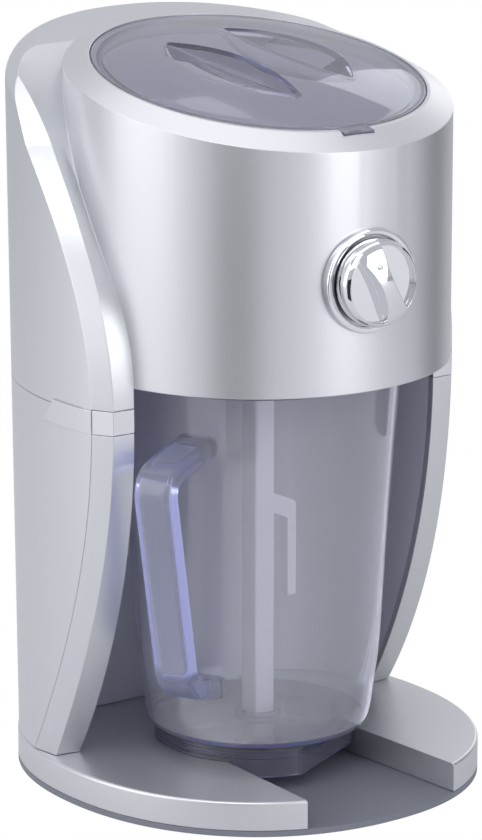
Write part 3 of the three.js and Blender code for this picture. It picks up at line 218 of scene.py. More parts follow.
# Jug. The wall's line goes through (radius, height) shares: of the floor's radius for the heel, and of the
# rim's radius for the flank
JUG_HEIGHT = JUG_RIM - JUG_BOTTOM
JUG_FLOOR_RADIUS = 54.5
JUG_RIM_RADIUS = 73.4
JUG_WALL = 2.4
JUG_FLOOR_THICK = 2.2
JUG_BEAD = 1.2
HEEL_SHARES = [(1.035, 0.0), (1.06, 0.014), (1.085, 0.045), (1.11, 0.1), (1.165, 0.235)]
FLANK_SHARES = [(0.915, 0.54), (0.985, 0.92)]
PIVOT_RADIUS = 3
PIVOT_CLEAR = 0.1
PIVOT_HIGH = 6
PIVOT_RING = 12
PIVOT_RING_WALL = 1.3
PIVOT_RING_HIGH = 2.4
SPOUT_RADIUS = 17
SPOUT_TIP = 5
SPOUT_HIGH = 24
SPOUT_REACH = 7
HANDLE_ANGLE = math.radians(206)
HANDLE_TOP_DROP = 26.7
HANDLE_TOP_FALL = 7
HANDLE_LOW_RISE = 32
HANDLE_LOW_LIFT = 8
HANDLE_TOP_REACH = 41
HANDLE_LOW_REACH = 26
HANDLE_TOP_BEND = 13
HANDLE_LOW_BEND = 10
HANDLE_WIDE = 21
HANDLE_THICK = 11.5
HANDLE_ROUND = HANDLE_THICK * 0.3
HANDLE_ROOT = 6

# Foot of the jug, with grooves at shares of its height
HEEL_RADIUS = 55
HEEL_FLAT = 43
HEEL_WALL = 3
HEEL_SKIN = 2.4
HEEL_GROOVE = 0.7
HEEL_GROOVES = [0.22, 0.42, 0.62]
LUG_CLEAR = 0.5
LUG_DEPTH = 8

# Paddle
DOG_BOTTOM = low("drive_dog", 2)
SHAFT_HALF = 6.2
SHAFT_ROUND = 1.2
SHAFT_CLEAR = 1
TANG_HALF = 3
TANG_REACH = 10
SLOT_DEEP = 4
ARM_OUT = 20
ARM_WIDE = 5.4
ARM_ROOT = 121
ARM_DROP = 13
ARM_TIP = 60.5
ARM_BENDS = [2, 1, 1, 4]

# Hopper, and the blade's window in its floor: x from and to, y from and to
HOPPER_BOTTOM = low("hopper", 2)
HOPPER_RADIUS = high("hopper", 0)
HOPPER_FLOOR = 2.5
HOPPER_FLOOR_RADIUS = 60
HOPPER_KNEE = 10
HOPPER_KNEE_OUT = 2
HOPPER_CONE_HIGH = 47
HOPPER_BENDS = [8, 12]
HOPPER_WALL = 2
BUSH_RADIUS = 8
WINDOW = (-6, 6, HEAD_Y - 53, HEAD_Y - 36.5)
BLADE_SCREWS = [(11, HEAD_Y - 37), (11, HEAD_Y - 51)]
BLADE_SHANK = 1.3

# Finishes: grain of moulded pieces, edges that catch the light, and clear plastic
GRAIN_SCALE = 900
GRAIN_RELIEF = 0.02
GRAIN_DEEP = 0.1
NOISE_DETAIL = 3
ROUGH_LOW = 0.85
ROUGH_HIGH = 1.15
BEVEL_SAMPLES = 6
PLASTIC_IOR = 1.47
WAVE_SCALE = 30
CLEAR_ROUGH = (0.01, 0.05)
TINT_LIFT = 1.03

# Studio, with its floor and cards in millimetres, and its camera and lamps in metres
WHITE = (1, 1, 1, 1)
FLOOR_REACH = 3000
FLOOR_THICK = 20
FLOOR_COLOUR = (0.62, 0.62, 0.64, 1)
FLOOR_SCALE = 20
FLOOR_ROUGH = (0.8, 0.9)
CARD_LOW = 2
CARD_HALF = 2
CARD_COLOUR = (0.03, 0.03, 0.04, 1)
CARD_SCALE = 60
CARD_ROUGH = (0.85, 0.95)
SKY_COLOUR = (0.93, 0.95, 1, 1)
SKY_STRENGTH = 0.65
CAMERA_PLACE = (-1.3356, -1.7922, 0.7643)
CAMERA_TARGET = (-0.008, -0.0055, 0.1876)
CAMERA_SENSOR = 36
CAMERA_LENS = 191.6
CAMERA_CLIP = (0.1, 20)
LAMP_TARGET = (0, 0, 0.2)


# Solids, drawn in millimetres in a collection of their own

workshop = bpy.data.collections.new("workshop")
bpy.context.scene.collection.children.link(workshop)


def solid(places, faces):
    mesh = bpy.data.meshes.new("solid")
    mesh.from_pydata([tuple(place) for place in places], [], faces)
    work = bmesh.new()
    work.from_mesh(mesh)
    bmesh.ops.recalc_face_normals(work, faces=work.faces)
    work.to_mesh(mesh)
    work.free()
    body = bpy.data.objects.new("solid", mesh)
    workshop.objects.link(body)
    return body


def discard(body):
    mesh = body.data
    bpy.data.objects.remove(body)
    bpy.data.meshes.remove(mesh)


def combine(body, other, operation):
    """Works other into body, and discards other."""
    modifier = body.modifiers.new("combine", "BOOLEAN")
    modifier.operation = operation
    modifier.solver = "MANIFOLD"
    modifier.object = other
    graph = bpy.context.evaluated_depsgraph_get()
    mesh = bpy.data.meshes.new_from_object(body.evaluated_get(graph))
    body.modifiers.clear()
    old = body.data
    body.data = mesh
    bpy.data.meshes.remove(old)
    discard(other)
    return body


def add(body, *others):
    for other in others:
        combine(body, other, "UNION")
    return body


def cut(body, *others):
    for other in others:
        combine(body, other, "DIFFERENCE")
    return body


def keep(body, *others):
    for other in others:
        combine(body, other, "INTERSECT")
    return body


def moved(body, matrix):
    body.data.transform(matrix)
    if matrix.determinant() < 0:
        body.data.flip_normals()
    return body


def copied(body):
    twin = bpy.data.objects.new("solid", body.data.copy())
    workshop.objects.link(twin)
    return twin


def loft(rings):
    """Joins rings of equally many points into one closed skin."""
    count = len(rings[0])
    places = [place for points in rings for place in points]
    faces = [tuple(range(count))]
    for r in range(len(rings) - 1):
        for i in range(count):
            n = (i + 1) % count
            faces.append((r * count + i, r * count + n, (r + 1) * count + n, (r + 1) * count + i))
    last = (len(rings) - 1) * count
    faces.append(tuple(last + i for i in range(count)))
    return solid(places, faces)


def prism(outline, bottom, top):
    return loft([[(x, y, z) for x, y in outline] for z in (bottom, top)])


def side_prism(outline, from_x, to_x):
    return loft([[(x, y, z) for y, z in outline] for x in (from_x, to_x)])


def front_prism(outline, from_y, to_y):
    return loft([[(x, y, z) for x, z in outline] for y in (from_y, to_y)])


def block(x0, x1, y0, y1, z0, z1):
    return prism([(x0, y0), (x1, y0), (x1, y1), (x0, y1)], z0, z1)


def slab(bottom, top):
    return block(-FAR, FAR, -FAR, FAR, bottom, top)


def turned(profile, steps, x=0, y=0):
    """Turns a profile of (radius, height) points. One with an end off the axis is closed to a ring."""
    places, rows = [], []
    for radius, height in profile:
        if radius <= 0:
            rows.append([len(places)])
            places.append((x, y, height))
            continue
        rows.append([len(places) + i for i in range(steps)])
        for i in range(steps):
            angle = 2 * math.pi * i / steps
            places.append((x + radius * math.cos(angle), y + radius * math.sin(angle), height))
    pairs = list(zip(rows, rows[1:]))
    if len(rows[0]) > 1 or len(rows[-1]) > 1:
        pairs.append((rows[-1], rows[0]))
    faces = []
    for one, two in pairs:
        for i in range(steps):
            n = (i + 1) % steps
            corners = [one[i % len(one)], one[n % len(one)], two[n % len(two)], two[i % len(two)]]
            face = list(dict.fromkeys(corners))
            if len(face) > 2:
                faces.append(tuple(face))
    return solid(places, faces)


def disc(radius, bottom, top, x=0, y=0, steps=ROUND_STEPS):
    return turned([(0, bottom), (radius, bottom), (radius, top), (0, top)], steps, x, y)


def arc(x, y, radius, start, end, steps):
    """Points of an arc, ends included."""
    angles = [start + (end - start) * i / steps for i in range(steps + 1)]
    return [(x + radius * math.cos(angle), y + radius * math.sin(angle)) for angle in angles]


def bend(start, corner, end, steps):
    """Points of a smooth curve from start to end that is drawn towards the corner."""
    shares = [i / steps for i in range(steps + 1)]
    return [tuple(start.lerp(corner, share).lerp(corner.lerp(end, share), share)) for share in shares]


def rounded(points, radii, steps=SMALL_EDGE_STEPS):
    """An open line of points with its inner corners rounded, each by its own radius."""
    line = [points[0]]
    for before, corner, after, radius in zip(points, points[1:], points[2:], radii):
        corner = Vector(corner)
        back = (Vector(before) - corner).normalized()
        on = (Vector(after) - corner).normalized()
        half = back.angle(on) / 2
        reach = radius / math.tan(half)
        line += bend(corner + back * reach, corner, corner + on * reach, steps)
    return line + [points[-1]]


def smooth_line(points, steps):
    """A smooth curve through all the points (Catmull-Rom), with the end points' tangents straight on."""
    places = [Vector(point) for point in points]
    ends = [places[0] * 2 - places[1], *places, places[-1] * 2 - places[-2]]
    line = []
    for i in range(1, len(ends) - 2):
        p0, p1, p2, p3 = ends[i - 1:i + 3]
        for j in range(steps):
            t = j / steps
            line.append(tuple(0.5 * (2 * p1 + (p2 - p0) * t + (2 * p0 - 5 * p1 + 4 * p2 - p3) * t * t
                                     + (3 * p1 - p0 - 3 * p2 + p3) * t ** 3)))
    return line + [tuple(places[-1])]


# Forms that several pieces share

def plan_point(angle, half_width, half_length):
    """A place on the plan's superellipse."""
    pull = lambda value: math.copysign(abs(value) ** (2 / PLAN_POWER), value)
    return half_width * pull(math.cos(angle)), half_length * pull(math.sin(angle))


def plan_angles():
    return [2 * math.pi * i / PLAN_STEPS for i in range(PLAN_STEPS)]


def plan_outline(inset):
    return [plan_point(angle, BASE_HALF_WIDTH - inset, BASE_HALF_LENGTH - inset) for angle in plan_angles()]


def deck_at(y):
    return DECK_HEIGHT + (y - HEAD_Y) * math.tan(TILT)


def shell_ring(offset, height_at):
    """The leaning shell's outline, at the height that height_at gives for each y."""
    ring = []
    for angle in plan_angles():
        y = plan_point(angle, SHELL_HALF_WIDTH + offset, SHELL_HALF_LENGTH + offset)[1]
        grown = (height_at(y) - PLATFORM_TOP) / LEAN_SPAN
        width = SHELL_HALF_WIDTH + offset + LEAN_WIDTH * grown
        length = SHELL_HALF_LENGTH + offset + LEAN_LENGTH * grown
        x, y = plan_point(angle, width, length)
        ring.append((x, y, height_at(y)))
    return ring


def shell_body(offset, bottom):
    """The column and head as one smooth body, with a rounded shoulder below the sloping deck."""
    radius = SHOULDER_RADIUS + offset
    rings = [shell_ring(offset, lambda y: bottom)]
    for i in range(SHOULDER_STEPS + 1):
        angle = math.pi / 2 * i / SHOULDER_STEPS
        inset = radius * (1 - math.cos(angle))
        drop = radius * (1 - math.sin(angle)) - offset
        rings.append(shell_ring(offset - inset, lambda y: deck_at(y) - drop))
    return loft(rings)


def bowed(height, line):
    """A side view line that bows forward: two arcs that meet at its foremost place."""
    front, middle, above, below = line
    radius = above if height > middle else below
    rise = min(abs(height - middle), STEEPEST * radius)
    return front + radius - math.sqrt(radius ** 2 - rise ** 2)


inner_rise = smooth_line(INNER_RISE, RISE_STEPS)


def inner_line(height):
    """Where the front faces meet the bay, and the valley beside the head above it."""
    rise = height - INNER[1]
    if rise <= 0:
        return bowed(height, INNER)
    for (z0, y0), (z1, y1) in zip(inner_rise, inner_rise[1:]):
        if rise < z1:
            return INNER[0] + y0 + (y1 - y0) * (rise - z0) / (z1 - z0)
    return INNER[0] + inner_rise[-1][1]


def side_at(y, height):
    """Half width of the leaning side at a place."""
    grown = (height - PLATFORM_TOP) / LEAN_SPAN
    width, length = SHELL_HALF_WIDTH + LEAN_WIDTH * grown, SHELL_HALF_LENGTH + LEAN_LENGTH * grown
    return width * (1 - abs(y / length) ** PLAN_POWER) ** (1 / PLAN_POWER)


def side_heights():
    return [SIDE_TOP * i / SIDE_STEPS for i in range(SIDE_STEPS + 1)]


def behind(line, shift):
    """The space behind a line of the side view, right across the machine."""
    outline = [(bowed(height, line) + shift, height) for height in side_heights()]
    return side_prism([*outline, (FAR, SIDE_TOP), (FAR, 0)], -FAR, FAR)


def behind_front(shift):
    """The space behind the column's front faces and its bevelled corners."""
    rings = []
    for height in side_heights():
        level = min(height, GROWTH_START + GROWTH_SPAN)
        growth = CORNER_GROWTH * (max(level - GROWTH_START, 0) / GROWTH_SPAN) ** 2
        crease, corner = bowed(level, BAND), bowed(level, CORNER) + growth * GROWTH_BACK
        out, turn = side_at(crease, level), side_at(corner, level) - CORNER_INSET - growth
        line = [(out + (out - turn) * BEVEL_REACH, crease + (crease - corner) * BEVEL_REACH), (out, crease),
                (turn, corner), (LINER_HALF_WIDTH + INNER_OVERLAP, inner_line(level))]
        back = (bowed(height, BAND) - crease) * RUN_OUT + shift
        line = [(x, y + back) for x, y in line]
        outline = [*line, *[(-x, y) for x, y in reversed(line)], (-FAR, FAR), (FAR, FAR)]
        rings.append([(*point, height) for point in outline])
    return loft(rings)


def bay(grow, bottom, top):
    """The U-shaped space that the jug stands in."""
    half, back, corner = LINER_HALF_WIDTH + grow, LINER_BACK + grow, LINER_CORNER + grow
    outline = [(-half, -FAR), (half, -FAR)]
    outline += arc(half - corner, back - corner, corner, 0, math.pi / 2, CURVE_STEPS)
    outline += arc(corner - half, back - corner, corner, math.pi / 2, math.pi, CURVE_STEPS)
    return prism(outline, bottom, top)


def lid_frame():
    place = Matrix.Translation((0, HEAD_Y, DECK_HEIGHT + RIM_RISE)) @ Matrix.Rotation(TILT, 4, "X")
    return place @ Matrix.Rotation(FRONT_TURN, 4, "Z")


def knob_frame():
    turn = Matrix.Translation((0, HEAD_Y, 0)) @ Matrix.Rotation(FRONT_TURN, 4, "Z")
    return turn @ Matrix.Translation((0, -HEAD_RADIUS, KNOB_HEIGHT)) @ Matrix.Rotation(math.pi / 2, 4, "X")


def towards(angle, radius=0):
    """A frame on the jug's axis, or out from it, with x pointing away at the angle."""
    place = Matrix.Translation((radius * math.cos(angle), HEAD_Y + radius * math.sin(angle), 0))
    return place @ Matrix.Rotation(angle, 4, "Z")


def below_deck(drop):
    """The space below a plane that lies the given drop under the sloping deck."""
    place = Matrix.Translation((0, HEAD_Y, DECK_HEIGHT - drop)) @ Matrix.Rotation(TILT, 4, "X")
    return moved(slab(-2 * FAR, 0), place)


def drum(radius, bottom, drop):
    return keep(disc(radius, bottom, DECK_HEIGHT + FAR, 0, HEAD_Y, DRUM_STEPS), below_deck(drop))


def halves(body):
    """The left and the right half of a solid."""
    left, right = copied(body), body
    keep(left, block(-FAR, 0, -FAR, FAR, -FAR, FAR))
    keep(right, block(0, FAR, -FAR, FAR, -FAR, FAR))
    return left, right


# Base

def recess_at(y):
    return RECESS_HALF_WIDTH + (HEAD_Y - y) * math.tan(RECESS_FLARE)


def recess(clear, bottom, top):
    front = -BASE_HALF_LENGTH - OVERRUN
    wide, narrow = recess_at(front) - clear, recess_at(RECESS_BACK) - clear
    back = RECESS_BACK - clear
    return prism([(-wide, front), (wide, front), (narrow, back), (-narrow, back)], bottom, top)


def base_platform():
    edge = PLATFORM_TOP - PLATFORM_EDGE
    levels = [(0, PLATFORM_BOTTOM), (0, edge)]
    for i in range(1, CURVE_STEPS // 2 + 1):
        angle = math.pi * i / CURVE_STEPS
        levels.append((PLATFORM_EDGE * (1 - math.cos(angle)), edge + PLATFORM_EDGE * math.sin(angle)))
    body = loft([[(x, y, height) for x, y in plan_outline(inset)] for inset, height in levels])
    room = prism(plan_outline(PLATFORM_WALL), PLATFORM_BOTTOM - OVERRUN, PLATFORM_TOP - PLATFORM_SKIN)
    cut(room, recess(-PLATFORM_WALL, -OVERRUN, PLATFORM_TOP))
    return cut(body, room, recess(0, 0, PLATFORM_TOP + OVERRUN))


def base_plate():
    body = prism(plan_outline(0), PLATE_BOTTOM, PLATE_TOP)
    for x in (-BASE_HALF_WIDTH, BASE_HALF_WIDTH):
        for y in (-BASE_HALF_LENGTH, BASE_HALF_LENGTH):
            top = PLATE_BOTTOM + FOOT_SINK + SEAT_GAP
            cut(body, disc(FOOT_RADIUS + SEAT_GAP, 0, top, x * FEET_SHARE, y * FEET_SHARE))
        for across, along in SCREW_SHARES:
            place = x * across, BASE_HALF_LENGTH * along
            cut(body, disc(SCREW_HEAD + SEAT_GAP, 0, PLATE_BOTTOM + SCREW_HEAD_HIGH + SEAT_GAP, *place),
                disc(SCREW_SHANK + SEAT_GAP, 0, PLATFORM_TOP, *place))
    return body


# Column

def rear_shell():
    bottom, top = COLUMN_BOTTOM, SEAM_HEIGHT - SEAT_GAP
    body = keep(shell_body(0, 0), slab(bottom, top), behind(BAND, SEAT_GAP))
    room = keep(shell_body(-SHELL_WALL, -OVERRUN), behind(BAND, SEAT_GAP + SHELL_WALL))
    return cut(body, room, bay(LINER_THICK + SEAT_GAP, 0, SEAM_HEIGHT + OVERRUN))


def liner():
    bottom, top = COLUMN_BOTTOM, HEAD_BOTTOM - SEAT_GAP
    wall = cut(bay(LINER_THICK, bottom, top), bay(0, bottom - OVERRUN, top + OVERRUN))
    return keep(wall, behind_front(FRONT_WALL + SEAT_GAP))


def ribs(bottom, top):
    """Both ribs between two heights, as one solid that halves splits."""
    body = keep(shell_body(0, 0), slab(bottom, top), behind_front(0))
    room = keep(shell_body(-SHELL_WALL, 0), behind_front(FRONT_WALL))
    return cut(body, room, behind(BAND, 0), bay(0, 0, HEAD_BOTTOM))


def waist_trims():
    bottom, top = TRIM_BOTTOM + SEAT_GAP, TRIM_TOP - SEAT_GAP
    start = BAND[0] - SEAT_GAP
    skin = cut(shell_body(TRIM_PROUD, 0), shell_body(SEAT_GAP, -OVERRUN))
    outline = [(start, bottom), (TAIL_BOTTOM, bottom), (TAIL_TOP, top), (start, top)]
    return add(ribs(bottom, top), keep(skin, side_prism(outline, -FAR, FAR)))


# Head

def tab_outline(clear):
    reach, root, width = LID_RADIUS + TAB_REACH + clear, LID_RADIUS - TAB_REACH, TAB_HALF_WIDTH + clear
    return [(-width, -reach), (width, -reach), (width, -root), (-width, -root)]


def prong(grow):
    far, half = -(LID_RADIUS + TAB_REACH - PRONG_INSET), PRONG_HALF_WIDTH + grow
    return block(-half, half, far - grow, far + PRONG_THICK + grow, -LID_THICK - PRONG_DROP - grow, 0)


def rim_cone():
    """The rim round the lid: a cone on the drum, sheared so that it stands on the sloping deck."""
    profile = [(0, -OVERRUN), (HEAD_RADIUS, -OVERRUN), (HEAD_RADIUS, 0), (RIM_TOP_RADIUS, RIM_RISE),
               (0, RIM_RISE)]
    shear = Matrix(((1, 0, 0, 0), (0, 1, 0, HEAD_Y), (0, math.tan(TILT), 1, DECK_HEIGHT), (0, 0, 0, 1)))
    return moved(turned(profile, DRUM_STEPS), shear)


def head_shell():
    sides = keep(shell_body(0, 0), slab(SEAM_HEIGHT, FAR), behind_front(0))
    cut(sides, cut(slab(0, TRIM_TOP), behind(BAND, SEAT_GAP)))
    outer = add(sides, drum(HEAD_RADIUS, HEAD_BOTTOM, 0), rim_cone())
    room = keep(shell_body(-SHELL_WALL, 0), behind_front(FRONT_WALL))
    add(room, drum(HEAD_RADIUS - HEAD_WALL, HEAD_BOTTOM - OVERRUN, HEAD_WALL))
    behind_liner = keep(bay(LINER_THICK + SEAT_GAP, 0, HEAD_BOTTOM), behind_front(FRONT_WALL))
    body = cut(outer, room, bay(0, 0, HEAD_BOTTOM), behind_liner)
    seat = LID_THICK + SEAT_GAP
    cuts = [
        disc(OPENING_RADIUS, -LID_THICK - 2 * RIM_RISE, RIM_RISE, steps=DRUM_STEPS),
        disc(LID_RADIUS + 2 * SEAT_GAP, -seat, RIM_RISE, steps=DRUM_STEPS),
        prism(tab_outline(SEAT_GAP), -seat, RIM_RISE),
        prong(PRONG_CLEAR),
    ]
    cut(body, *[moved(tool, lid_frame()) for tool in cuts])
    return cut(body, moved(disc(STEM_RADIUS + TURN_GAP, -HEAD_WALL * 2, OVERRUN), knob_frame()))


def lens(side, grow):
    """A lens-shaped hollow that is deep beside the grip bar and runs out at its outer edge and tips."""
    rings = []
    for i in range(LENS_STEPS + 1):
        share = LENS_END * (2 * i / LENS_STEPS - 1)
        bulge = 1 - share ** 2
        near = LENS_TIP_X - LENS_INNER_BULGE * bulge - grow
        far = LENS_TIP_X + LENS_OUTER_BULGE * bulge + grow
        y = share * (LENS_LENGTH / 2 + grow)
        surface = LID_CROWN * (1 - (LENS_TIP_X ** 2 + y ** 2) / OPENING_RADIUS ** 2) - grow
        deep = surface - LENS_SHALLOW - (LENS_DEEP - LENS_SHALLOW) * bulge
        ring = rounded([(near, FAR), (near, deep), (far, surface - LENS_SHALLOW), (far, FAR)],
                       [LENS_EDGE + LENS_ROUND * bulge, LENS_EDGE], EDGE_STEPS)
        rings.append([(side * x, y, z) for x, z in ring])
    return loft(rings)


def dome(radius, bottom, crown):
    shares = [1 - i / CURVE_STEPS for i in range(CURVE_STEPS + 1)]
    points = [(radius * share, crown * (1 - share ** 2)) for share in shares]
    return turned([(0, bottom), (radius, bottom), *points], DRUM_STEPS)


def lid():
    skirt = OPENING_RADIUS - SEAT_GAP
    inner = skirt - SKIRT_THICK
    near = LID_RADIUS - 2 * LID_EDGE
    edge = rounded([(near, -LID_THICK), (LID_RADIUS, -LID_THICK), (LID_RADIUS, 0), (near, 0)],
                   [LID_EDGE, LID_EDGE])
    rim = [(0, -LID_THICK), *edge, (0, 0)]
    body = add(turned(rim, DRUM_STEPS), dome(skirt, -LID_THICK, LID_CROWN),
               disc(skirt, -LID_THICK - SKIRT_DEEP, 0, steps=DRUM_STEPS),
               prism(tab_outline(0), -LID_THICK, 0), prong(0))
    room = moved(dome(inner, -FAR, LID_CROWN), Matrix.Translation((0, 0, -LID_THICK)))
    cut(body, room)
    turn = Matrix.Rotation(LENS_TURN, 4, "Z")
    for side in (-1, 1):
        cup = moved(lens(side, LENS_WALL), turn)
        add(body, keep(cup, dome(inner, -LID_THICK - SKIRT_DEEP, LID_CROWN)))
    for side in (-1, 1):
        cut(body, moved(lens(side, 0), turn))
    return moved(body, lid_frame())


def knob():
    crown = []
    for i in range(1, CURVE_STEPS + 1):
        angle = math.pi / 2 * i / CURVE_STEPS
        crown.append((KNOB_RADIUS * math.cos(angle), KNOB_EDGE + (KNOB_REACH - KNOB_EDGE) * math.sin(angle)))
    crown[-1] = (0, KNOB_REACH)
    body = turned([(0, KNOB_CLEAR), (KNOB_RADIUS, KNOB_CLEAR), (KNOB_RADIUS, KNOB_EDGE), *crown], JUG_STEPS)
    floor = KNOB_REACH - POCKET_DEEP
    # The radius of the bar's flanks, with which it is about BAR_BULGE wider on each side at its ends
    hollow = (POCKET_RADIUS ** 2 - 2 * BAR_HALF * BAR_BULGE) / 2 / BAR_BULGE
    for side in (-1, 1):
        pocket = disc(POCKET_RADIUS, floor, FAR, steps=JUG_STEPS)
        flank = disc(hollow, floor, FAR, side * (BAR_HALF + hollow), 0, DRUM_STEPS)
        cut(body, keep(pocket, flank))
    add(body, disc(KNOB_DOT, floor, KNOB_REACH, 0, KNOB_RADIUS / 2),
        disc(STEM_RADIUS, -STEM_LENGTH, KNOB_EDGE))
    return moved(body, knob_frame() @ Matrix.Rotation(KNOB_TURN, 4, "Z"))


def knob_bezel():
    outline = rounded([(BEZEL_INNER, -2 * HEAD_WALL), (BEZEL_INNER, BEZEL_PROUD), (BEZEL_OUTER, BEZEL_PROUD),
                       (BEZEL_OUTER, -2 * HEAD_WALL)], [BEZEL_ROUND, BEZEL_ROUND], EDGE_STEPS)
    body = moved(turned(outline, JUG_STEPS), knob_frame())
    return cut(body, disc(HEAD_RADIUS + SEAT_GAP, 0, FAR, 0, HEAD_Y, 2 * DRUM_STEPS))


# Jug and paddle

def wall_line(inset):
    """The outer line of the jug's wall, from its heel to its rim."""
    heel = [(JUG_FLOOR_RADIUS * r - inset, JUG_BOTTOM + JUG_HEIGHT * h) for r, h in HEEL_SHARES]
    flank = [(JUG_RIM_RADIUS * r - inset, JUG_BOTTOM + JUG_HEIGHT * h) for r, h in FLANK_SHARES]
    return smooth_line([*heel, *flank, (JUG_RIM_RADIUS - inset, JUG_RIM)], EDGE_STEPS)


def wall_at(height):
    """The radius of the jug's wall at a height."""
    line = wall_line(0)
    for (r0, z0), (r1, z1) in zip(line, line[1:]):
        if z0 <= height < z1:
            return r0 + (r1 - r0) * (height - z0) / (z1 - z0)
    return JUG_RIM_RADIUS


def jug_space(inset, floor):
    """The jug's outside as a full solid, or with an inset the space in it."""
    line = [point for point in wall_line(inset) if point[1] > floor]
    top = JUG_RIM + inset
    return turned([(0, floor), (line[0][0] - JUG_BEAD, floor), *line, (line[-1][0], top), (0, top)],
                  JUG_STEPS, 0, HEAD_Y)


def spout(inset, top):
    profile = [(0, JUG_RIM - SPOUT_HIGH), (SPOUT_TIP - inset, JUG_RIM - SPOUT_HIGH),
               (SPOUT_RADIUS - inset, JUG_RIM), (SPOUT_RADIUS - inset, top), (0, top)]
    out = JUG_RIM_RADIUS + SPOUT_REACH - SPOUT_RADIUS
    return moved(turned(profile, ROUND_STEPS), towards(HANDLE_ANGLE + math.pi, out))


def jug_body():
    floor = JUG_BOTTOM + JUG_FLOOR_THICK
    outer = add(jug_space(0, JUG_BOTTOM - SEAT_GAP), spout(0, JUG_RIM))
    keep(outer, slab(JUG_BOTTOM, JUG_RIM))
    room = add(jug_space(JUG_WALL, floor), spout(JUG_WALL, JUG_RIM + JUG_WALL))
    inner = PIVOT_RING - PIVOT_RING_WALL
    low_ring = turned([(inner, JUG_BOTTOM), (PIVOT_RING, JUG_BOTTOM), (PIVOT_RING, floor + PIVOT_RING_HIGH),
                       (inner, floor + PIVOT_RING_HIGH)], ROUND_STEPS, 0, HEAD_Y)
    pin = disc(PIVOT_RADIUS, JUG_BOTTOM, floor + PIVOT_HIGH, 0, HEAD_Y)
    return add(cut(outer, room), pin, low_ring)


def handle_line():
    """The middle line of the handle, as (out, height) points."""
    top_z, low_z = JUG_RIM - HANDLE_TOP_DROP, JUG_BOTTOM + HANDLE_LOW_RISE
    top_wall, low_wall = wall_at(top_z), wall_at(low_z)
    corners = [(top_wall - HANDLE_ROOT, top_z), (top_wall + HANDLE_TOP_REACH, top_z - HANDLE_TOP_FALL),
               (low_wall + HANDLE_LOW_REACH, low_z + HANDLE_LOW_LIFT), (low_wall - HANDLE_ROOT, low_z)]
    line = [corners[0]]
    reaches = [HANDLE_TOP_BEND, HANDLE_LOW_BEND]
    for before, corner, after, reach in zip(corners, corners[1:], corners[2:], reaches):
        corner = Vector(corner)
        start = corner + (Vector(before) - corner).normalized() * reach
        end = corner + (Vector(after) - corner).normalized() * reach
        line += bend(start, corner, end, CURVE_STEPS)
    return line + [corners[-1]]


def round_rectangle(wide, thick, corner):
    """The outline of a rectangle with rounded corners."""
    w, t, quarter = wide / 2 - corner, thick / 2 - corner, math.pi / 2
    line = []
    for i, (x, y) in enumerate(((w, t), (-w, t), (-w, -t), (w, -t))):
        line += arc(x, y, corner, i * quarter, (i + 1) * quarter, EDGE_STEPS)
    return line


def jug_handle():
    line = [Vector(point) for point in handle_line()]
    section = round_rectangle(HANDLE_WIDE, HANDLE_THICK, HANDLE_ROUND)
    rings = []
    for i, middle in enumerate(line):
        before, after = line[max(i - 1, 0)], line[min(i + 1, len(line) - 1)]
        along = (after - before).normalized()
        across = Vector((-along.y, along.x))
        rings.append([(middle.x + across.x * out, side, middle.y + across.y * out) for side, out in section])
    body = moved(loft(rings), towards(HANDLE_ANGLE))
    return cut(body, jug_space(-SEAT_GAP, JUG_BOTTOM - OVERRUN))


def heel(inset, bottom, top):
    """The jug's heel: a disc with two flat flanks beside the handle's direction."""
    body = disc(HEEL_RADIUS - inset, bottom, top, steps=JUG_STEPS)
    half = HEEL_FLAT - inset
    keep(body, block(-FAR, FAR, -half, half, bottom - OVERRUN, top + OVERRUN))
    return moved(body, towards(HANDLE_ANGLE))


def lug(inset, bottom, top):
    """The part of the foot that sits in the base's recess."""
    return keep(recess(LUG_CLEAR + inset, bottom, top), heel(inset, bottom, top))


def jug_foot():
    bottom, top = COLUMN_BOTTOM, HEEL_TOP
    body = add(heel(0, bottom, top), lug(0, bottom - LUG_DEPTH, bottom + HEEL_SKIN))
    for share in HEEL_GROOVES:
        start = bottom + (top - bottom) * share
        span = start, start + HEEL_GROOVE
        cut(body, cut(heel(-OVERRUN, *span), heel(HEEL_GROOVE, *span)))
    return cut(body, heel(HEEL_WALL, bottom + HEEL_SKIN, top - HEEL_SKIN),
               lug(HEEL_WALL, bottom - LUG_DEPTH - OVERRUN, top - HEEL_SKIN))


def paddle():
    floor = JUG_BOTTOM + JUG_FLOOR_THICK
    bottom, shoulder = floor + TURN_GAP, DOG_BOTTOM - TURN_GAP - SHAFT_CLEAR
    shaft = round_rectangle(2 * SHAFT_HALF, 2 * SHAFT_HALF, SHAFT_ROUND)
    body = add(prism(shaft, bottom, shoulder),
               block(-TANG_HALF, TANG_HALF, -TANG_REACH, TANG_REACH, shoulder - TANG_HALF,
                     DOG_BOTTOM + SLOT_DEEP - TURN_GAP))
    root, tip, half = floor + ARM_ROOT, floor + ARM_TIP, ARM_WIDE / 2
    near, far = ARM_OUT - half, ARM_OUT + half
    arm = rounded([(0, root - 2 * ARM_WIDE), (near, root - ARM_DROP - ARM_WIDE), (near, tip), (far, tip),
                   (far, root - ARM_DROP + half), (0, root)], ARM_BENDS, EDGE_STEPS)
    add(body, front_prism(arm, -half, half))
    cut(body, disc(PIVOT_RADIUS + PIVOT_CLEAR, 0, floor + PIVOT_HIGH + TURN_GAP))
    return moved(body, Matrix.Translation((0, HEAD_Y, 0)))


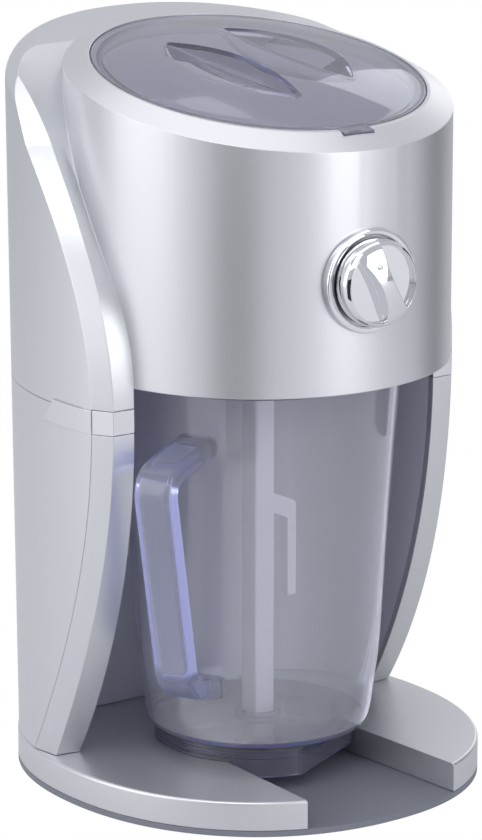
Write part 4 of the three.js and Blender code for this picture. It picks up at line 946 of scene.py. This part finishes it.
def hopper_space(inset, floor):
    """The hopper's outside as a full solid, or with an inset the space in it, both on past the deck."""
    knee, cone = HOPPER_BOTTOM + HOPPER_KNEE, HOPPER_BOTTOM + HOPPER_CONE_HIGH
    top = DECK_HEIGHT + FAR
    wide, upper = HOPPER_FLOOR_RADIUS - inset, HOPPER_RADIUS - inset
    line = rounded([(wide, floor), (wide + HOPPER_KNEE_OUT, knee), (upper, cone), (upper, top)], HOPPER_BENDS,
                   EDGE_STEPS)
    return turned([(0, floor), *line, (0, top)], JUG_STEPS, 0, HEAD_Y)


def hopper():
    body = keep(hopper_space(0, HOPPER_BOTTOM), below_deck(HEAD_WALL + OVERRUN / 2))
    low_end, floor = HOPPER_BOTTOM - OVERRUN, HOPPER_BOTTOM + HOPPER_FLOOR
    cut(body, hopper_space(HOPPER_WALL, floor), disc(BUSH_RADIUS + SEAT_GAP, 0, FAR, 0, HEAD_Y),
        block(*WINDOW, low_end, floor + OVERRUN))
    return cut(body, *[disc(BLADE_SHANK + SEAT_GAP, low_end, floor + OVERRUN, x, y) for x, y in BLADE_SCREWS])


# Finishes

def node_material(name):
    material = bpy.data.materials.new(name)
    material.use_nodes = True
    nodes, links = material.node_tree.nodes, material.node_tree.links
    return material, nodes, links, nodes["Principled BSDF"]


def noise(nodes, links, scale):
    place = nodes.new("ShaderNodeTexCoord")
    texture = nodes.new("ShaderNodeTexNoise")
    texture.inputs["Scale"].default_value = scale
    texture.inputs["Detail"].default_value = NOISE_DETAIL
    links.new(place.outputs["Object"], texture.inputs["Vector"])
    return texture.outputs["Fac"]


def spread(nodes, links, value, low_end, high_end):
    span = nodes.new("ShaderNodeMapRange")
    span.inputs["To Min"].default_value = low_end
    span.inputs["To Max"].default_value = high_end
    links.new(value, span.inputs["Value"])
    return span.outputs["Result"]


def solid_finish(name, colour, metallic, roughness, edge, relief=GRAIN_RELIEF):
    """A moulded or metal finish with a fine grain and edges that catch the light."""
    material, nodes, links, shader = node_material(name)
    shader.inputs["Base Color"].default_value = (*colour, 1)
    shader.inputs["Metallic"].default_value = metallic
    fine = noise(nodes, links, GRAIN_SCALE)
    rough = spread(nodes, links, fine, roughness * ROUGH_LOW, roughness * ROUGH_HIGH)
    links.new(rough, shader.inputs["Roughness"])
    bevel = nodes.new("ShaderNodeBevel")
    bevel.samples = BEVEL_SAMPLES
    bevel.inputs["Radius"].default_value = edge * MM
    bump = nodes.new("ShaderNodeBump")
    bump.inputs["Strength"].default_value = relief
    bump.inputs["Distance"].default_value = GRAIN_DEEP * MM
    links.new(fine, bump.inputs["Height"])
    links.new(bevel.outputs["Normal"], bump.inputs["Normal"])
    links.new(bump.outputs["Normal"], shader.inputs["Normal"])
    return material


def clear_finish(name, tint, depth_tint, density, haze):
    """Slightly milky clear plastic that darkens with the length of the way through it."""
    material, nodes, links, shader = node_material(name)
    shader.inputs["Transmission Weight"].default_value = 1 - haze
    shader.inputs["IOR"].default_value = PLASTIC_IOR
    waves = noise(nodes, links, WAVE_SCALE)
    links.new(spread(nodes, links, waves, *CLEAR_ROUGH), shader.inputs["Roughness"])
    mix = nodes.new("ShaderNodeMix")
    mix.data_type = "RGBA"
    mix.inputs["A"].default_value = (*tint, 1)
    mix.inputs["B"].default_value = (*[min(1, value * TINT_LIFT) for value in tint], 1)
    links.new(waves, mix.inputs["Factor"])
    links.new(mix.outputs["Result"], shader.inputs["Base Color"])
    depth = nodes.new("ShaderNodeVolumeAbsorption")
    depth.inputs["Color"].default_value = (*depth_tint, 1)
    depth.inputs["Density"].default_value = density
    links.new(depth.outputs["Volume"], nodes["Material Output"].inputs["Volume"])
    return material


# Solid finishes have a colour, metalness, roughness and the width of the edges that catch the light, in
# millimetres. Clear ones have a tint, the tint that depth gives, its density and the share of haze
finishes = {
    "silver": solid_finish("silver_paint", (0.62, 0.63, 0.655), 0.8, 0.37, 0.7),
    "slate": solid_finish("slate_paint", (0.6, 0.61, 0.68), 0, 0.42, 0.5),
    "rubber": solid_finish("rubber", (0.02, 0.02, 0.022), 0, 0.8, 0.5),
    "chrome": solid_finish("chrome", (0.76, 0.77, 0.79), 1, 0.05, 0.5, relief=0),
    "steel": solid_finish("steel", (0.6, 0.61, 0.62), 1, 0.3, 0.2),
    "brass": solid_finish("brass", (0.6, 0.42, 0.18), 1, 0.3, 0.2),
    "black": solid_finish("black_plastic", (0.02, 0.02, 0.022), 0, 0.5, 0.3),
    "white": solid_finish("white_plastic", (0.86, 0.87, 0.9), 0, 0.4, 0.5),
    "clear_lilac": clear_finish("clear_lilac", (0.98, 0.98, 1), (0.5, 0.54, 0.9), 75, 0.13),
}
# Nodes whose finish differs from that of their slot
own_finishes = {
    "lid": clear_finish("clear_gray", (0.76, 0.76, 0.8), (0.35, 0.38, 0.75), 70, 0.12),
    "jug_foot": clear_finish("clear_dark", (0.66, 0.68, 0.8), (0.4, 0.42, 0.8), 110, 0.08),
    "base_plate": solid_finish("slate_dark", (0.17, 0.18, 0.215), 0.1, 0.42, 0.5),
}
slot_of = {row["node"]: row["material_slot"] for row in frame["record"]["subparts"]}
bodies = frame["record"]["behaviour"]["bodies"]
body_of = {node: name for name, nodes in bodies.items() for node in nodes}


def show(body, node, sharp=SHARP):
    """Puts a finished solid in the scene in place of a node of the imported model."""
    body.name = body.data.name = f"{node}_smooth"
    body.data.transform(Matrix.Scale(MM, 4))
    body.data.shade_smooth()
    body.data.set_sharp_from_angle(angle=math.radians(sharp))
    body.data.materials.clear()
    body.data.materials.append(own_finishes.get(node, finishes[slot_of[node]]))
    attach(body, body_of[node])
    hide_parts(node)


for node, item in frame["nodes"].items():
    for place in item.material_slots:
        place.material = finishes[slot_of[node]]

show(base_platform(), "base_platform")
show(rear_shell(), "rear_shell_lower")
show(liner(), "column_liner")
for part, body in (("rib_lower", ribs(COLUMN_BOTTOM, TRIM_BOTTOM)), ("waist_trim", waist_trims())):
    for side, piece in zip(("left", "right"), halves(body)):
        show(piece, f"{part}_{side}", CREASE_SHARP)
show(head_shell(), "head_shell", CREASE_SHARP)
show(lid(), "lid")
show(knob(), "knob")
show(knob_bezel(), "knob_bezel")
show(jug_body(), "jug_body")
show(jug_handle(), "jug_handle")
show(jug_foot(), "jug_foot")
show(paddle(), "paddle")
show(base_plate(), "base_plate")
show(hopper(), "hopper")


# Studio: a floor and world that the camera sees as plain white, dark cards, and soft lamps

def camera_white(nodes, links, shader, output, kind):
    """Shows plain white to the camera, and the shader to all other light, such as reflections."""
    path = nodes.new("ShaderNodeLightPath")
    plain = nodes.new(kind)
    plain.inputs["Color"].default_value = WHITE
    plain.inputs["Strength"].default_value = 1
    mix = nodes.new("ShaderNodeMixShader")
    links.new(path.outputs["Is Camera Ray"], mix.inputs["Fac"])
    links.new(shader.outputs[0], mix.inputs[1])
    links.new(plain.outputs[0], mix.inputs[2])
    links.new(mix.outputs["Shader"], output.inputs["Surface"])


def floor():
    body = block(-FLOOR_REACH, FLOOR_REACH, -FLOOR_REACH, FLOOR_REACH, -FLOOR_THICK, 0)
    body.name = "floor"
    body.data.transform(Matrix.Scale(MM, 4))
    material, nodes, links, shader = node_material("floor_white")
    shader.inputs["Base Color"].default_value = FLOOR_COLOUR
    rough = spread(nodes, links, noise(nodes, links, FLOOR_SCALE), *FLOOR_ROUGH)
    links.new(rough, shader.inputs["Roughness"])
    camera_white(nodes, links, shader, nodes["Material Output"], "ShaderNodeEmission")
    body.data.materials.append(material)


def card(name, x, y, width, height):
    """A dark upright card that faces the machine and is there for reflections only."""
    body = block(-width / 2, width / 2, -CARD_HALF, CARD_HALF, CARD_LOW, height)
    body.name = name
    turn = math.atan2(y, x) + math.pi / 2
    body.data.transform(Matrix.Scale(MM, 4) @ Matrix.Translation((x, y, 0)) @ Matrix.Rotation(turn, 4, "Z"))
    material, nodes, links, shader = node_material(f"{name}_felt")
    shader.inputs["Base Color"].default_value = CARD_COLOUR
    rough = spread(nodes, links, noise(nodes, links, CARD_SCALE), *CARD_ROUGH)
    links.new(rough, shader.inputs["Roughness"])
    mix, path = nodes.new("ShaderNodeMixShader"), nodes.new("ShaderNodeLightPath")
    links.new(path.outputs["Is Glossy Ray"], mix.inputs["Fac"])
    links.new(nodes.new("ShaderNodeBsdfTransparent").outputs["BSDF"], mix.inputs[1])
    links.new(shader.outputs["BSDF"], mix.inputs[2])
    links.new(mix.outputs["Shader"], nodes["Material Output"].inputs["Surface"])
    body.data.materials.append(material)


def world():
    sky = bpy.data.worlds.new("studio")
    sky.use_nodes = True
    nodes, links = sky.node_tree.nodes, sky.node_tree.links
    soft = nodes["Background"]
    soft.inputs["Color"].default_value = SKY_COLOUR
    soft.inputs["Strength"].default_value = SKY_STRENGTH
    camera_white(nodes, links, soft, nodes["World Output"], "ShaderNodeBackground")
    bpy.context.scene.world = sky


def aimed(name, data, place, target):
    """An object that stands at a place, in metres, and looks at the target."""
    item = bpy.data.objects.new(name, data)
    item.location = place
    item.rotation_euler = (Vector(target) - Vector(place)).to_track_quat("-Z", "Y").to_euler()
    bpy.context.scene.collection.objects.link(item)
    return item


def lamp(name, place, width, height, power, target=LAMP_TARGET):
    light = bpy.data.lights.new(name, "AREA")
    light.shape = "RECTANGLE"
    light.size, light.size_y, light.energy = width, height, power
    aimed(name, light, place, target)


def camera():
    data = bpy.data.cameras.new("camera")
    data.sensor_width, data.lens = CAMERA_SENSOR, CAMERA_LENS
    data.clip_start, data.clip_end = CAMERA_CLIP
    bpy.context.scene.camera = aimed("camera", data, CAMERA_PLACE, CAMERA_TARGET)


# Cards have a place, a width and a height; lamps a place, a width, a height and a power in watts
floor()
world()
card("card_left", -370, -330, 220, 330)
card("card_right", 590, -90, 250, 500)
lamp("key", (-1.25, -0.9, 1.75), 1.2, 1.2, 13)
lamp("left", (-1.5, 0.42, 0.7), 1.4, 1.4, 11)
lamp("front", (0.45, -1.75, 0.7), 0.9, 1.6, 13)
lamp("right", (1.3, 0.75, 0.7), 0.5, 1.2, 2)
lamp("top", (0, 0.2, 1.8), 1.6, 1.6, 7, (0, 0, 0.3))
camera()
bpy.context.scene.view_settings.view_transform = "Standard"
